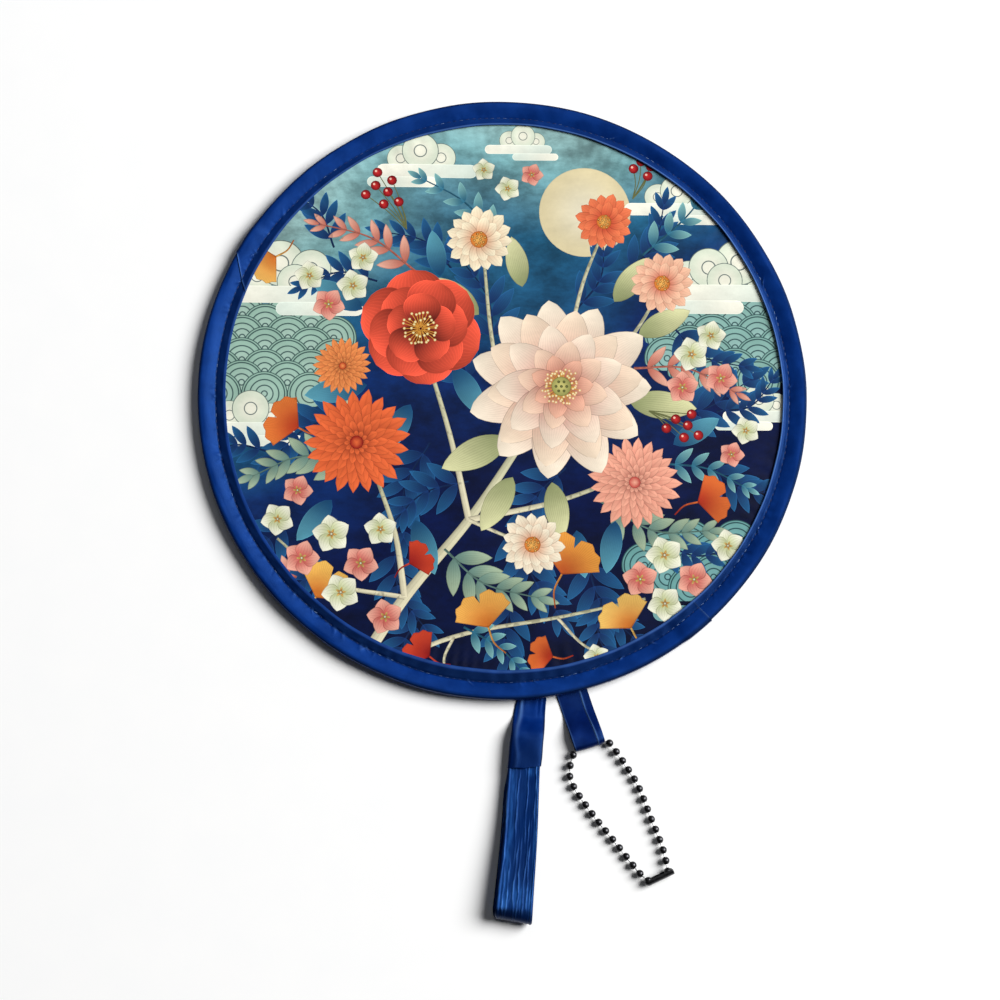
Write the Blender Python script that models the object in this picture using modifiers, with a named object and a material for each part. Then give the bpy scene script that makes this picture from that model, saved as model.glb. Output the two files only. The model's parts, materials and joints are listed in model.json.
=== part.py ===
"""Round twist-folding hand fan with a hand strap and a loop of ball chain.

The origin is the centre of the cloth's printed face. +Z points out of the print and
+Y points away from the strap. Lengths are in metres and angles in degrees.
"""

import math

import bmesh
import bpy
from mathutils import Matrix, Vector

# Stock and gaps
CLEARANCE = 0.0003
CUT_OVERRUN = 0.0020
MERGE_DISTANCE = 0.000003
BEND_SLACK = 0.00005
TAPE_THICKNESS = 0.0003
CLOTH_THICKNESS = 0.0003
HEM_PRESS_DEPTH = 0.00005
HEM_SLOPE_LENGTH = 0.0004

# Spring hoop and the tape that binds it to the cloth
FAN_DIAMETER = 0.2500
HOOP_WIDTH = 0.0030
HOOP_THICKNESS = 0.0005
HOOP_BUTT_GAP = 0.0006
SPLICE_LENGTH = 0.0180
SPLICE_THICKNESS = 0.0004
BINDING_WIDTH = 0.0102
STITCH_INSET = 0.0023
BACK_FOOT_WIDTH = 0.0011
UPPER_LAP_ANGLE = 151.6
UPPER_LAP_SLANT = 6.5
LOWER_LAP_ANGLE = -47.6
LAP_LENGTH = 0.0110
LAP_RAMP_LENGTH = 0.0080

# Hand strap: a satin sleeve with a loop of ribbed elastic sewn into its mouth
STRAP_RIM_ANGLE = -84.6
STRAP_HEADING = -94.5
SLEEVE_WIDTH = 0.0120
SLEEVE_LENGTH = 0.0270
ELASTIC_WIDTH = 0.0132
ELASTIC_THICKNESS = 0.0008
ELASTIC_LAYER_GAP = 0.0002
ELASTIC_TAIL_LENGTH = 0.0140
HAND_LOOP_LENGTH = 0.0620
HAND_LOOP_HEIGHT = 0.0074
HAND_LOOP_SETTLE_LENGTH = 0.0090
HAND_LOOP_BEND_GAP = 0.0005

# Short tab of folded tape that carries the chain
STRAP_TO_TAB_GAP = 0.0040
TAB_HEADING = -71.8
TAB_WIDTH = 0.0127
TAB_LENGTH = 0.0230
TAB_CORNER_RADIUS = 0.0010
TAB_CREST_LENGTH = 0.0027
TAB_SEAM_INSET = 0.0009
FLAT_ROOT_LENGTH = 0.0056

# Ball chain and its connector
BEAD_DIAMETER = 0.0032
BEAD_WALL = 0.0003
BEAD_HOLE_DIAMETER = 0.0016
CHAIN_PITCH = 0.00439
LINK_DIAMETER = 0.00056
LINK_HEAD_DIAMETER = 0.00184
LINK_ROOT_SHARE = 0.7
APEX_HEAD_DIAMETER = 0.0010
APEX_HOLE_DIAMETER = 0.0008
APEX_HEAD_SHARE = 0.5
ARCH_SIDE_REACH = 0.00144
LOOP_LEAN = 9.4
LOOP_WIDTH = 0.0235
LEFT_BEADS = 14
RIGHT_BEADS = 13
LOOP_REACH_SHARE = 0.9388
SETTLE_BEADS = 3
CONNECTOR_WALL = 0.0003
CONNECTOR_WRAP = 190.0
CONNECTOR_END_HOLE_DIAMETER = 0.0012

# The chain's two strands, seen from the front: shares of the loop's length down the loop
# and of its width out to the strand's own side
LEFT_STRAND_SHARES = (
    (0.047, 0.470), (0.155, 0.575), (0.397, 0.515), (0.690, 0.374), (0.930, 0.262), (1.040, 0.140),
)
RIGHT_STRAND_SHARES = (
    (0.100, 0.355), (0.243, 0.396), (0.395, 0.415), (0.620, 0.353), (0.845, 0.290), (1.040, 0.160),
)

# Fineness of the round forms
HOOP_STEPS = 72
CLOTH_SIDES = 64
DOME_STEPS = 4
EASE_STEPS = 6
FOLD_STEPS = 8
BEAD_SIDES = 10
BEAD_STEPS = 6
LINK_SIDES = 6
LINK_HEAD_STEPS = 4
CONNECTOR_STEPS = 10
ROUTE_STEPS = 40

# Sizes that follow from the ones above
FAN_RADIUS = FAN_DIAMETER / 2
CLOTH_MIDDLE = -CLOTH_THICKNESS / 2
HOOP_OUTER_RADIUS = FAN_RADIUS - TAPE_THICKNESS - CLEARANCE
HOOP_INNER_RADIUS = HOOP_OUTER_RADIUS - HOOP_THICKNESS
CLOTH_RADIUS = HOOP_INNER_RADIUS - CLEARANCE - SPLICE_THICKNESS - CLEARANCE
BINDING_BACK = CLOTH_MIDDLE - HOOP_WIDTH / 2 - CLEARANCE - TAPE_THICKNESS
FLOOR = BINDING_BACK - CLEARANCE - 2 * TAPE_THICKNESS
ROOT_MIDDLE = FLOOR + TAPE_THICKNESS
BEND_GAP = TAPE_THICKNESS + BEND_SLACK
STRAP_TO_TAB_SPACING = (SLEEVE_WIDTH + TAB_WIDTH) / 2 + STRAP_TO_TAB_GAP
TAB_RIM_ANGLE = STRAP_RIM_ANGLE + math.degrees(STRAP_TO_TAB_SPACING / FAN_RADIUS)
LOOP_LENGTH = LEFT_BEADS * CHAIN_PITCH * LOOP_REACH_SHARE
TAIL_THICKNESS = 2 * ELASTIC_THICKNESS + ELASTIC_LAYER_GAP
BEAD_RADIUS = BEAD_DIAMETER / 2
POCKET_RADIUS = BEAD_RADIUS + CLEARANCE
TAB_END_RADIUS = POCKET_RADIUS + TAPE_THICKNESS
CONNECTOR_RADIUS = BEAD_RADIUS + CLEARANCE + CONNECTOR_WALL / 2


def new_collection(name):
    collection = bpy.data.collections.new(name)
    bpy.context.scene.collection.children.link(collection)
    return collection


def new_material(name, colour, roughness, metallic):
    material = bpy.data.materials.new(name)
    material.use_nodes = True
    shader = material.node_tree.nodes["Principled BSDF"]
    shader.inputs["Base Color"].default_value = (*colour, 1.0)
    shader.inputs["Roughness"].default_value = roughness
    shader.inputs["Metallic"].default_value = metallic
    material.diffuse_color = (*colour, 1.0)
    return material


def new_empty(name, frame, parent=None):
    empty = bpy.data.objects.new(name, None)
    empty.empty_display_size = CHAIN_PITCH
    parts.objects.link(empty)
    if parent:
        empty.parent = parent
        empty.matrix_parent_inverse = parent_world(parent).inverted()
    empty.matrix_world = frame
    hinge_frames[name] = frame
    return empty


def parent_world(parent):
    return hinge_frames[parent.name]


def add_part(name, mesh, material, frame=Matrix(), parent=None, smooth_angle=None):
    mesh.name = name
    mesh.materials.clear()
    mesh.materials.append(material)
    if smooth_angle:
        mesh.shade_smooth()
        mesh.set_sharp_from_angle(angle=math.radians(smooth_angle))
    part = bpy.data.objects.new(name, mesh)
    parts.objects.link(part)
    if parent:
        part.parent = parent
        part.matrix_parent_inverse = parent_world(parent).inverted()
    part.matrix_world = frame
    return part


def add_cutter(name, mesh, frame=Matrix()):
    mesh.name = name
    cutter = bpy.data.objects.new(name, mesh)
    cutter.hide_render = True
    cutter.display_type = "WIRE"
    cutters.objects.link(cutter)
    cutter.matrix_world = frame
    return cutter


def add_boolean(part, operation, cutter):
    boolean = part.modifiers.new(operation.lower(), "BOOLEAN")
    boolean.operation = operation
    boolean.solver = "EXACT"
    boolean.object = cutter


def evaluated_mesh(source):
    """Take the finished mesh of a guide object and remove the guide."""
    parts.objects.link(source)
    graph = bpy.context.evaluated_depsgraph_get()
    mesh = bpy.data.meshes.new_from_object(source.evaluated_get(graph))
    bpy.data.objects.remove(source)
    merged = bmesh.new()
    merged.from_mesh(mesh)
    bmesh.ops.remove_doubles(merged, verts=merged.verts, dist=MERGE_DISTANCE)
    merged.to_mesh(mesh)
    merged.free()
    return mesh


def extruded_mesh(outlines, depth):
    """Extrude closed outlines in XY by the given depth, half to each side of Z = 0."""
    curve = bpy.data.curves.new("outline", "CURVE")
    curve.dimensions = "2D"
    curve.fill_mode = "BOTH"
    curve.extrude = depth / 2
    for outline in outlines:
        spline = curve.splines.new("POLY")
        spline.points.add(len(outline) - 1)
        for point, (x, y) in zip(spline.points, outline):
            point.co = (x, y, 0.0, 1.0)
        spline.use_cyclic_u = True
    return evaluated_mesh(bpy.data.objects.new("outline", curve))


def side_profile_mesh(outlines, width):
    """Extrude outlines drawn as (along, up) across the width of a strap."""
    mesh = extruded_mesh(outlines, width)
    mesh.transform(Matrix(((0, 0, 1, 0), (1, 0, 0, 0), (0, 1, 0, 0), (0, 0, 0, 1))))
    return mesh


def turned_mesh(profile, sides, angle=360.0):
    """Turn a profile of (radius, height) points about Z."""
    mesh = bpy.data.meshes.new("profile")
    edges = [(i, i + 1) for i in range(len(profile) - 1)]
    mesh.from_pydata([(radius, 0.0, height) for radius, height in profile], edges, [])
    guide = bpy.data.objects.new("profile", mesh)
    screw = guide.modifiers.new("turn", "SCREW")
    screw.axis = "Z"
    screw.angle = math.radians(angle)
    screw.steps = sides
    screw.render_steps = sides
    screw.use_merge_vertices = angle == 360.0
    screw.merge_threshold = MERGE_DISTANCE
    screw.use_smooth_shade = True
    return evaluated_mesh(guide)


def arc(centre, radius, start, end, steps):
    """Points of an arc in a plane, both ends included."""
    points = []
    for i in range(steps + 1):
        angle = math.radians(start + (end - start) * i / steps)
        x = centre[0] + radius * math.cos(angle)
        y = centre[1] + radius * math.sin(angle)
        points.append((x, y))
    return points


def ease(share):
    """Smooth step from 0 to 1."""
    share = min(max(share, 0.0), 1.0)
    return share * share * (3 - 2 * share)


def eased_run(start, end, steps=EASE_STEPS):
    """Points of a run that leaves and arrives level, both ends included."""
    points = []
    for i in range(steps + 1):
        share = i / steps
        along = start[0] + (end[0] - start[0]) * share
        up = start[1] + (end[1] - start[1]) * ease(share)
        points.append((along, up))
    return points


def thickened(path, thickness):
    """Outline of a band that follows a path, half its thickness to each side."""
    left = []
    right = []
    for i, point in enumerate(path):
        before = Vector(path[max(i - 1, 0)])
        after = Vector(path[min(i + 1, len(path) - 1)])
        run = (after - before).normalized()
        normal = Vector((-run.y, run.x))
        left.append(tuple(Vector(point) + normal * thickness / 2))
        right.append(tuple(Vector(point) - normal * thickness / 2))
    return left + right[::-1]


def rim_frame(rim_angle, heading, width):
    """Frame of a bend just outside the rim: X across, Y outwards along the heading, Z up."""
    lean = math.radians(heading - rim_angle)
    bow = FAN_RADIUS - math.sqrt(FAN_RADIUS ** 2 - (width / 2) ** 2)
    reach = TAPE_THICKNESS + CLEARANCE + width / 2 * abs(math.sin(lean)) + bow
    angle = math.radians(rim_angle)
    along = Vector((math.cos(math.radians(heading)), math.sin(math.radians(heading)), 0.0))
    origin = Vector((FAN_RADIUS * math.cos(angle), FAN_RADIUS * math.sin(angle), ROOT_MIDDLE))
    origin += along * reach
    turn = Matrix.Rotation(math.radians(heading - 90.0), 4, "Z")
    return Matrix.Translation(origin) @ turn, reach


# Hoop

def rim_arc_angle(length):
    return math.degrees(length / FAN_RADIUS)


def hoop_strip(middle_radius, angle, steps):
    """Upright strip of steel bent to an arc about Z, centred on the cloth."""
    top = CLOTH_MIDDLE + HOOP_WIDTH / 2
    bottom = CLOTH_MIDDLE - HOOP_WIDTH / 2
    mesh = turned_mesh([(middle_radius, top), (middle_radius, bottom)], steps, angle)
    mesh.transform(Matrix.Rotation(math.radians(-angle / 2), 4, "Z"))
    return mesh


def add_thickness(part, thickness):
    shell = part.modifiers.new("thickness", "SOLIDIFY")
    shell.thickness = thickness
    shell.offset = 0.0
    shell.use_even_offset = True


def make_hoop():
    joint_turn = Matrix.Rotation(math.radians(STRAP_RIM_ANGLE), 4, "Z")
    far_turn = Matrix.Rotation(math.pi, 4, "Z") @ joint_turn
    band_radius = (HOOP_OUTER_RADIUS + HOOP_INNER_RADIUS) / 2
    band = hoop_strip(band_radius, 360.0 - rim_arc_angle(HOOP_BUTT_GAP), HOOP_STEPS)
    add_thickness(add_part("hoop_band", band, steel, far_turn, smooth_angle=40), HOOP_THICKNESS)
    splice_radius = HOOP_INNER_RADIUS - CLEARANCE - SPLICE_THICKNESS / 2
    splice_steps = max(2, round(HOOP_STEPS * SPLICE_LENGTH / (math.pi * FAN_DIAMETER)))
    splice = hoop_strip(splice_radius, rim_arc_angle(SPLICE_LENGTH), splice_steps)
    add_thickness(add_part("hoop_splice", splice, steel, joint_turn, smooth_angle=40), SPLICE_THICKNESS)


# Cloth and binding

def make_cloth():
    """Disc of cloth whose hem is pressed a little thinner where the binding grips it."""
    pressed = CLOTH_THICKNESS - HEM_PRESS_DEPTH
    disc = bmesh.new()
    bmesh.ops.create_cone(
        disc, cap_ends=True, segments=CLOTH_SIDES, radius1=CLOTH_RADIUS, radius2=CLOTH_RADIUS,
        depth=pressed,
    )
    disc.faces.ensure_lookup_table()
    front = max(disc.faces, key=lambda face: face.calc_center_median().z)
    hem = CLOTH_RADIUS - (FAN_RADIUS - BINDING_WIDTH) + HEM_SLOPE_LENGTH
    bmesh.ops.inset_individual(disc, faces=[front], thickness=hem)
    bmesh.ops.inset_individual(disc, faces=[front], thickness=HEM_SLOPE_LENGTH, depth=HEM_PRESS_DEPTH)
    mesh = bpy.data.meshes.new("screen_cloth")
    disc.to_mesh(mesh)
    disc.free()
    frame = Matrix.Translation((0.0, 0.0, pressed / 2 - CLOTH_THICKNESS))
    add_part("screen_cloth", mesh, printed_cloth, frame)


def binding_profile(lift):
    """Middle line of the folded tape, as (radius, height), from its front edge to its back edge.

    The tape lies flat on the cloth to the stitches, domes up to the hoop, wraps the hoop
    and comes back flat behind. The lift moves it outwards where it laps over the other tape.
    """
    off = CLEARANCE + TAPE_THICKNESS / 2 + lift
    front = off
    back = -CLOTH_THICKNESS - off
    top = CLOTH_MIDDLE + HOOP_WIDTH / 2
    bottom = CLOTH_MIDDLE - HOOP_WIDTH / 2
    edge = FAN_RADIUS - BINDING_WIDTH
    stitch = edge + STITCH_INSET
    points = [(edge, front)]
    for i in range(DOME_STEPS + 1):
        share = i / DOME_STEPS
        radius = stitch + (HOOP_INNER_RADIUS - stitch) * share
        height = front + (top + off - front) * math.sin(math.pi / 2 * share)
        points.append((radius, height))
    points += arc((HOOP_OUTER_RADIUS, top), off, 90, 0, 2)
    points += arc((HOOP_OUTER_RADIUS, bottom), off, 0, -90, 2)
    points += [(stitch + BACK_FOOT_WIDTH, bottom - off), (stitch, back), (edge, back)]
    return points


def binding_tape(name, start, end, end_slant, lap_start):
    """One length of tape round part of the rim, its last stretch lifted over the other tape.

    Angles run from start to end. The slant adds to the end angle at the inner edge, and
    lap_start is where the other tape's end lies below this one.
    """
    ramp = rim_arc_angle(LAP_RAMP_LENGTH)
    columns = round(HOOP_STEPS * abs(end - start) / 360.0)
    rows = len(binding_profile(0.0))
    tape = bmesh.new()
    bmesh.ops.create_grid(tape, x_segments=columns, y_segments=rows - 1, size=1)
    for vertex in tape.verts:
        column_share = (vertex.co.x + 1) / 2
        row = round((vertex.co.y + 1) / 2 * (rows - 1))
        inward = (FAN_RADIUS - binding_profile(0.0)[row][0]) / BINDING_WIDTH
        angle = start + (end + end_slant * inward - start) * column_share
        rise = ease((angle - lap_start + ramp) / ramp)
        radius, height = binding_profile(rise * (TAPE_THICKNESS + CLEARANCE))[row]
        turn = math.radians(angle)
        vertex.co = (radius * math.cos(turn), radius * math.sin(turn), height)
    mesh = bpy.data.meshes.new(name)
    tape.to_mesh(mesh)
    tape.free()
    add_thickness(add_part(name, mesh, satin, smooth_angle=50), TAPE_THICKNESS)


def make_binding():
    lap = rim_arc_angle(LAP_LENGTH)
    upper_start = LOWER_LAP_ANGLE - lap
    lower_start = UPPER_LAP_ANGLE - lap
    binding_tape("upper_binding_tape", upper_start, UPPER_LAP_ANGLE, UPPER_LAP_SLANT, lower_start)
    lower_end = LOWER_LAP_ANGLE + 360.0
    binding_tape("lower_binding_tape", lower_start, lower_end, 0.0, upper_start + 360.0)


# Strap and tab, drawn in the frame of their bend at the rim

def root_mesh(reach, width):
    """Flat end of a strap, two layers of tape sewn under the back of the binding."""
    inner = -(reach + BINDING_WIDTH - STITCH_INSET - BACK_FOOT_WIDTH)
    outline = [
        (inner, -TAPE_THICKNESS), (-BEND_GAP, -TAPE_THICKNESS),
        (-BEND_GAP, TAPE_THICKNESS), (inner, TAPE_THICKNESS),
    ]
    return side_profile_mesh([outline], width)


def make_sleeve(frame, hinge):
    """Flattened tube of satin, closed at the bend and open at the mouth."""
    bottom = -TAPE_THICKNESS
    cavity_bottom = bottom + TAPE_THICKNESS
    cavity_top = cavity_bottom + 2 * CLEARANCE + TAIL_THICKNESS
    top = cavity_top + TAPE_THICKNESS
    rise_start = FLAT_ROOT_LENGTH
    rise_end = SLEEVE_LENGTH - ELASTIC_TAIL_LENGTH
    outline = [(BEND_GAP, bottom), (SLEEVE_LENGTH, bottom), (SLEEVE_LENGTH, top)]
    outline += eased_run((rise_end, top), (rise_start, TAPE_THICKNESS)) + [(BEND_GAP, TAPE_THICKNESS)]
    sleeve = add_part("strap_sleeve", side_profile_mesh([outline], SLEEVE_WIDTH), satin, frame, hinge)
    cavity_start = rise_end - CLEARANCE
    mouth = SLEEVE_LENGTH + CUT_OVERRUN
    cavity = [
        (cavity_start, cavity_bottom), (mouth, cavity_bottom),
        (mouth, cavity_top), (cavity_start, cavity_top),
    ]
    cavity_width = SLEEVE_WIDTH - 2 * TAPE_THICKNESS
    cutter = add_cutter("sleeve_cavity", side_profile_mesh([cavity], cavity_width), frame)
    add_boolean(sleeve, "DIFFERENCE", cutter)
    tail_bottom = cavity_bottom + CLEARANCE
    tail_top = tail_bottom + TAIL_THICKNESS
    tail = [
        (rise_end, tail_bottom), (SLEEVE_LENGTH, tail_bottom),
        (SLEEVE_LENGTH, tail_top), (rise_end, tail_top),
    ]
    tail_width = cavity_width - 2 * CLEARANCE
    add_part("elastic_tail", side_profile_mesh([tail], tail_width), elastic, frame, hinge)
    return (tail_bottom + tail_top) / 2


def make_hand_loop(strap_frame, strap_hinge, tail_middle):
    """Hairpin of ribbed elastic, lying on its lower run with its far end rolled over."""
    bend = Matrix.Translation((0.0, SLEEVE_LENGTH + HAND_LOOP_BEND_GAP, tail_middle))
    frame = strap_frame @ bend
    hinge = new_empty("hand_loop_hinge", frame, strap_hinge)
    layer_offset = (ELASTIC_THICKNESS + ELASTIC_LAYER_GAP) / 2
    start = CLEARANCE
    floor = -TAPE_THICKNESS - tail_middle
    low = floor + ELASTIC_THICKNESS / 2
    high = floor + HAND_LOOP_HEIGHT - ELASTIC_THICKNESS / 2
    radius = (high - low) / 2
    turn_start = HAND_LOOP_LENGTH - HAND_LOOP_BEND_GAP - ELASTIC_THICKNESS / 2 - radius
    path = eased_run((start, -layer_offset), (HAND_LOOP_SETTLE_LENGTH, low))
    path += arc((turn_start, low + radius), radius, -90, 90, FOLD_STEPS)
    path += eased_run((turn_start, high), (start, layer_offset))[1:]
    outline = thickened(path, ELASTIC_THICKNESS)
    add_part("elastic_loop", side_profile_mesh([outline], ELASTIC_WIDTH), elastic, frame, hinge, 30)


def make_tab(frame, hinge):
    """Loop of tape, flat at the bend and opened round the chain at its folded end."""
    bottom = -TAPE_THICKNESS
    centre_up = bottom + TAB_END_RADIUS
    centre_along = TAB_LENGTH - TAB_END_RADIUS
    top = centre_up + TAB_END_RADIUS
    rise_start = FLAT_ROOT_LENGTH
    rise_end = centre_along - TAB_CREST_LENGTH
    outer = [(BEND_GAP, bottom)]
    outer += arc((centre_along, centre_up), TAB_END_RADIUS, -90, 90, FOLD_STEPS)
    outer += eased_run((rise_end, top), (rise_start, TAPE_THICKNESS)) + [(BEND_GAP, TAPE_THICKNESS)]
    inner = arc((centre_along, centre_up), POCKET_RADIUS, -90, 90, FOLD_STEPS)
    upper_side = eased_run((rise_end, top - TAPE_THICKNESS), (rise_start, 0.0))
    inner += [point for point in upper_side if point[1] > TAPE_THICKNESS / 2]
    inner.append((rise_start + TAB_SEAM_INSET, bottom + TAPE_THICKNESS))
    tab = add_part("tab_loop", side_profile_mesh([outer, inner], TAB_WIDTH), satin, frame, hinge, 30)
    half = TAB_WIDTH / 2
    corner = half - TAB_CORNER_RADIUS
    corner_along = TAB_LENGTH - TAB_CORNER_RADIUS
    outline = [(-half - CUT_OVERRUN, -CUT_OVERRUN), (half + CUT_OVERRUN, -CUT_OVERRUN)]
    outline += [(half + CUT_OVERRUN, corner_along)]
    outline += arc((corner, corner_along), TAB_CORNER_RADIUS, 0, 90, 3)
    outline += arc((-corner, corner_along), TAB_CORNER_RADIUS, 90, 180, 3)
    outline += [(-half - CUT_OVERRUN, corner_along)]
    plan = extruded_mesh([outline], 2 * (top + CUT_OVERRUN))
    add_boolean(tab, "INTERSECT", add_cutter("tab_plan", plan, frame))


# Chain

def arch_points():
    """Centres of the beads that bow through the tab, in the tab's frame, left to right."""
    chord = TAB_WIDTH + 2 * ARCH_SIDE_REACH
    pitches = math.floor(chord / CHAIN_PITCH) + 1
    low, high = 0.0, 2 * math.pi / pitches
    for _ in range(60):
        bend = (low + high) / 2
        span = CHAIN_PITCH * math.sin(pitches * bend / 2) / math.sin(bend / 2)
        low, high = (bend, high) if span > chord else (low, bend)
    radius = CHAIN_PITCH / 2 / math.sin(bend / 2)
    turns = [(pitches / 2 - i) * bend for i in range(pitches + 1)]
    wall_side = TAB_LENGTH - TAPE_THICKNESS - CLEARANCE - BEAD_RADIUS
    apex = wall_side - radius * (1 - math.cos(turns[1]))
    height = -TAPE_THICKNESS + TAB_END_RADIUS
    return [Vector((radius * math.sin(t), apex + radius * (1 - math.cos(t)), height)) for t in turns]


def smooth_route(points):
    """Dense points of a smooth curve through the given points, run on straight past the last one."""
    step = points[-1] - points[-2]
    ends = [2 * points[0] - points[1]] + points + [points[-1] + step, points[-1] + 2 * step]
    route = []
    for before, start, end, after in zip(ends, ends[1:], ends[2:], ends[3:]):
        for i in range(ROUTE_STEPS):
            t = i / ROUTE_STEPS
            bend = 2 * before - 5 * start + 4 * end - after
            twist = 3 * start - before - 3 * end + after
            route.append(start + ((end - before) * t + bend * t * t + twist * t ** 3) / 2)
    return route


def strand_points(start, shares, side, count, first_height, last_height):
    """Bead centres of one strand, one pitch apart along its route, in the tab's frame."""
    lean = Matrix.Rotation(math.radians(LOOP_LEAN), 4, "Z")
    origin = Vector((0.0, TAB_LENGTH, 0.0))
    marks = []
    for down, out in shares:
        marks.append(origin + lean @ Vector((side * out * LOOP_WIDTH, down * LOOP_LENGTH, 0.0)))
    route = smooth_route([Vector((start.x, start.y, 0.0))] + marks)
    lying_height = -TAPE_THICKNESS + BEAD_RADIUS
    centres = [start]
    place = 0
    for bead in range(1, count + 1):
        first_part = ease(1 - bead / SETTLE_BEADS)
        last_part = ease(1 - (count - bead) / SETTLE_BEADS)
        height = lying_height + (first_height - lying_height) * first_part
        height += (last_height - lying_height) * last_part
        while True:
            candidate = Vector((route[place].x, route[place].y, height))
            if (candidate - centres[-1]).length >= CHAIN_PITCH:
                break
            place += 1
        centres.append(centres[-1] + (candidate - centres[-1]).normalized() * CHAIN_PITCH)
    return centres[1:]


def bead_shell_mesh(hole_diameter):
    """Hollow bead with one round hole at +Z, turned from its section."""
    inner_radius = BEAD_RADIUS - BEAD_WALL
    outer_lip = 90 - math.degrees(math.asin(hole_diameter / BEAD_DIAMETER))
    inner_lip = 90 - math.degrees(math.asin(hole_diameter / 2 / inner_radius))
    profile = arc((0.0, 0.0), inner_radius, -90, inner_lip, BEAD_STEPS - 2)
    profile += arc((0.0, 0.0), BEAD_RADIUS, outer_lip, -90, BEAD_STEPS)
    return turned_mesh(on_axis(profile), BEAD_SIDES)


def on_axis(profile):
    """Put the profile's end points exactly on the axis."""
    first, last = profile[0], profile[-1]
    return [(0.0, first[1])] + profile[1:-1] + [(0.0, last[1])]


def link_mesh(head_diameter, head_height):
    """Stem that leaves a bead's wall at +Z and ends in a ball inside the next bead."""
    seat = BEAD_RADIUS - BEAD_WALL * LINK_ROOT_SHARE
    stem = LINK_DIAMETER / 2
    head = head_diameter / 2
    neck = math.degrees(math.asin(LINK_DIAMETER / head_diameter))
    ball = arc((0.0, head_height), head, 90, neck - 90, LINK_HEAD_STEPS)
    profile = [(0.0, head_height + head)] + ball[1:] + [(stem, seat), (0.0, seat)]
    return turned_mesh(profile, LINK_SIDES)


def aim(point, target):
    """Frame at a point whose +Z looks at the target."""
    turn = (target - point).to_track_quat("Z", "Y").to_matrix().to_4x4()
    return Matrix.Translation(point) @ turn


def add_bead(name, centres, index, apex, parent):
    """One bead with the link it hangs by: each link's ball sits in the bead nearer the tab."""
    centre = centres[index]
    inward = 1 if index < apex else -1
    if index == apex:
        shell = bead_shell_mesh(APEX_HOLE_DIAMETER)
        bead = add_part(name, shell, gunmetal, aim(centre, centres[index - 1]), parent)
        drill = turned_mesh([(0.0, BEAD_DIAMETER), (APEX_HOLE_DIAMETER / 2, BEAD_DIAMETER),
                             (APEX_HOLE_DIAMETER / 2, 0.0), (0.0, 0.0)], BEAD_SIDES)
        second = aim(centre, centres[index + 1])
        add_boolean(bead, "DIFFERENCE", add_cutter(name + "_drill", drill, second))
        return bead
    outward_index = index - inward
    is_end = outward_index < 0 or outward_index >= len(centres)
    if is_end:
        shell = turned_mesh(on_axis(arc((0.0, 0.0), BEAD_RADIUS, 90, -90, BEAD_STEPS)), BEAD_SIDES)
        outward = 2 * centre - centres[index + inward]
    else:
        shell = bead_shell_mesh(BEAD_HOLE_DIAMETER)
        outward = centres[outward_index]
    bead = add_part(name, shell, gunmetal, aim(centre, outward), parent)
    if index + inward == apex:
        head_height = CHAIN_PITCH - APEX_HEAD_SHARE * (BEAD_RADIUS - BEAD_WALL)
        link = link_mesh(APEX_HEAD_DIAMETER, head_height)
    else:
        link = link_mesh(LINK_HEAD_DIAMETER, CHAIN_PITCH)
    cutter = add_cutter(name + "_link", link, aim(centre, centres[index + inward]))
    add_boolean(bead, "UNION", cutter)
    return bead


def make_connector(left, right, inside, parent):
    """Open-sided trough, folded from sheet, that holds the chain's two end beads."""
    length = (right - left).length
    half_hole = CONNECTOR_END_HOLE_DIAMETER / 2
    start = math.degrees(math.asin(half_hole / CONNECTOR_RADIUS))
    rounded = arc((0.0, 0.0), CONNECTOR_RADIUS, -90 + start, 0, 4)
    far_end = length + CONNECTOR_RADIUS
    profile = rounded + [(CONNECTOR_RADIUS, far_end), (half_hole, far_end)]
    mesh = turned_mesh(profile[::-1], CONNECTOR_STEPS, CONNECTOR_WRAP)
    mesh.transform(Matrix.Rotation(math.radians(-CONNECTOR_WRAP / 2), 4, "Z"))
    axis = (right - left).normalized()
    closed_side = -(inside - axis * inside.dot(axis)).normalized()
    up = axis.cross(closed_side)
    turn = Matrix((closed_side, up, axis)).transposed().to_4x4()
    frame = Matrix.Translation(left) @ turn
    add_thickness(add_part("chain_connector", mesh, gunmetal, frame, parent, 40), CONNECTOR_WALL)


def row_frame(left, right):
    """Hinge frame on the line through a left and a right bead: X along that line to the left."""
    across = (left - right).normalized()
    up = Vector((0.0, 0.0, 1.0))
    along = up.cross(across).normalized()
    true_up = across.cross(along)
    turn = Matrix((across, along, true_up)).transposed().to_4x4()
    return Matrix.Translation((left + right) / 2) @ turn


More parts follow.
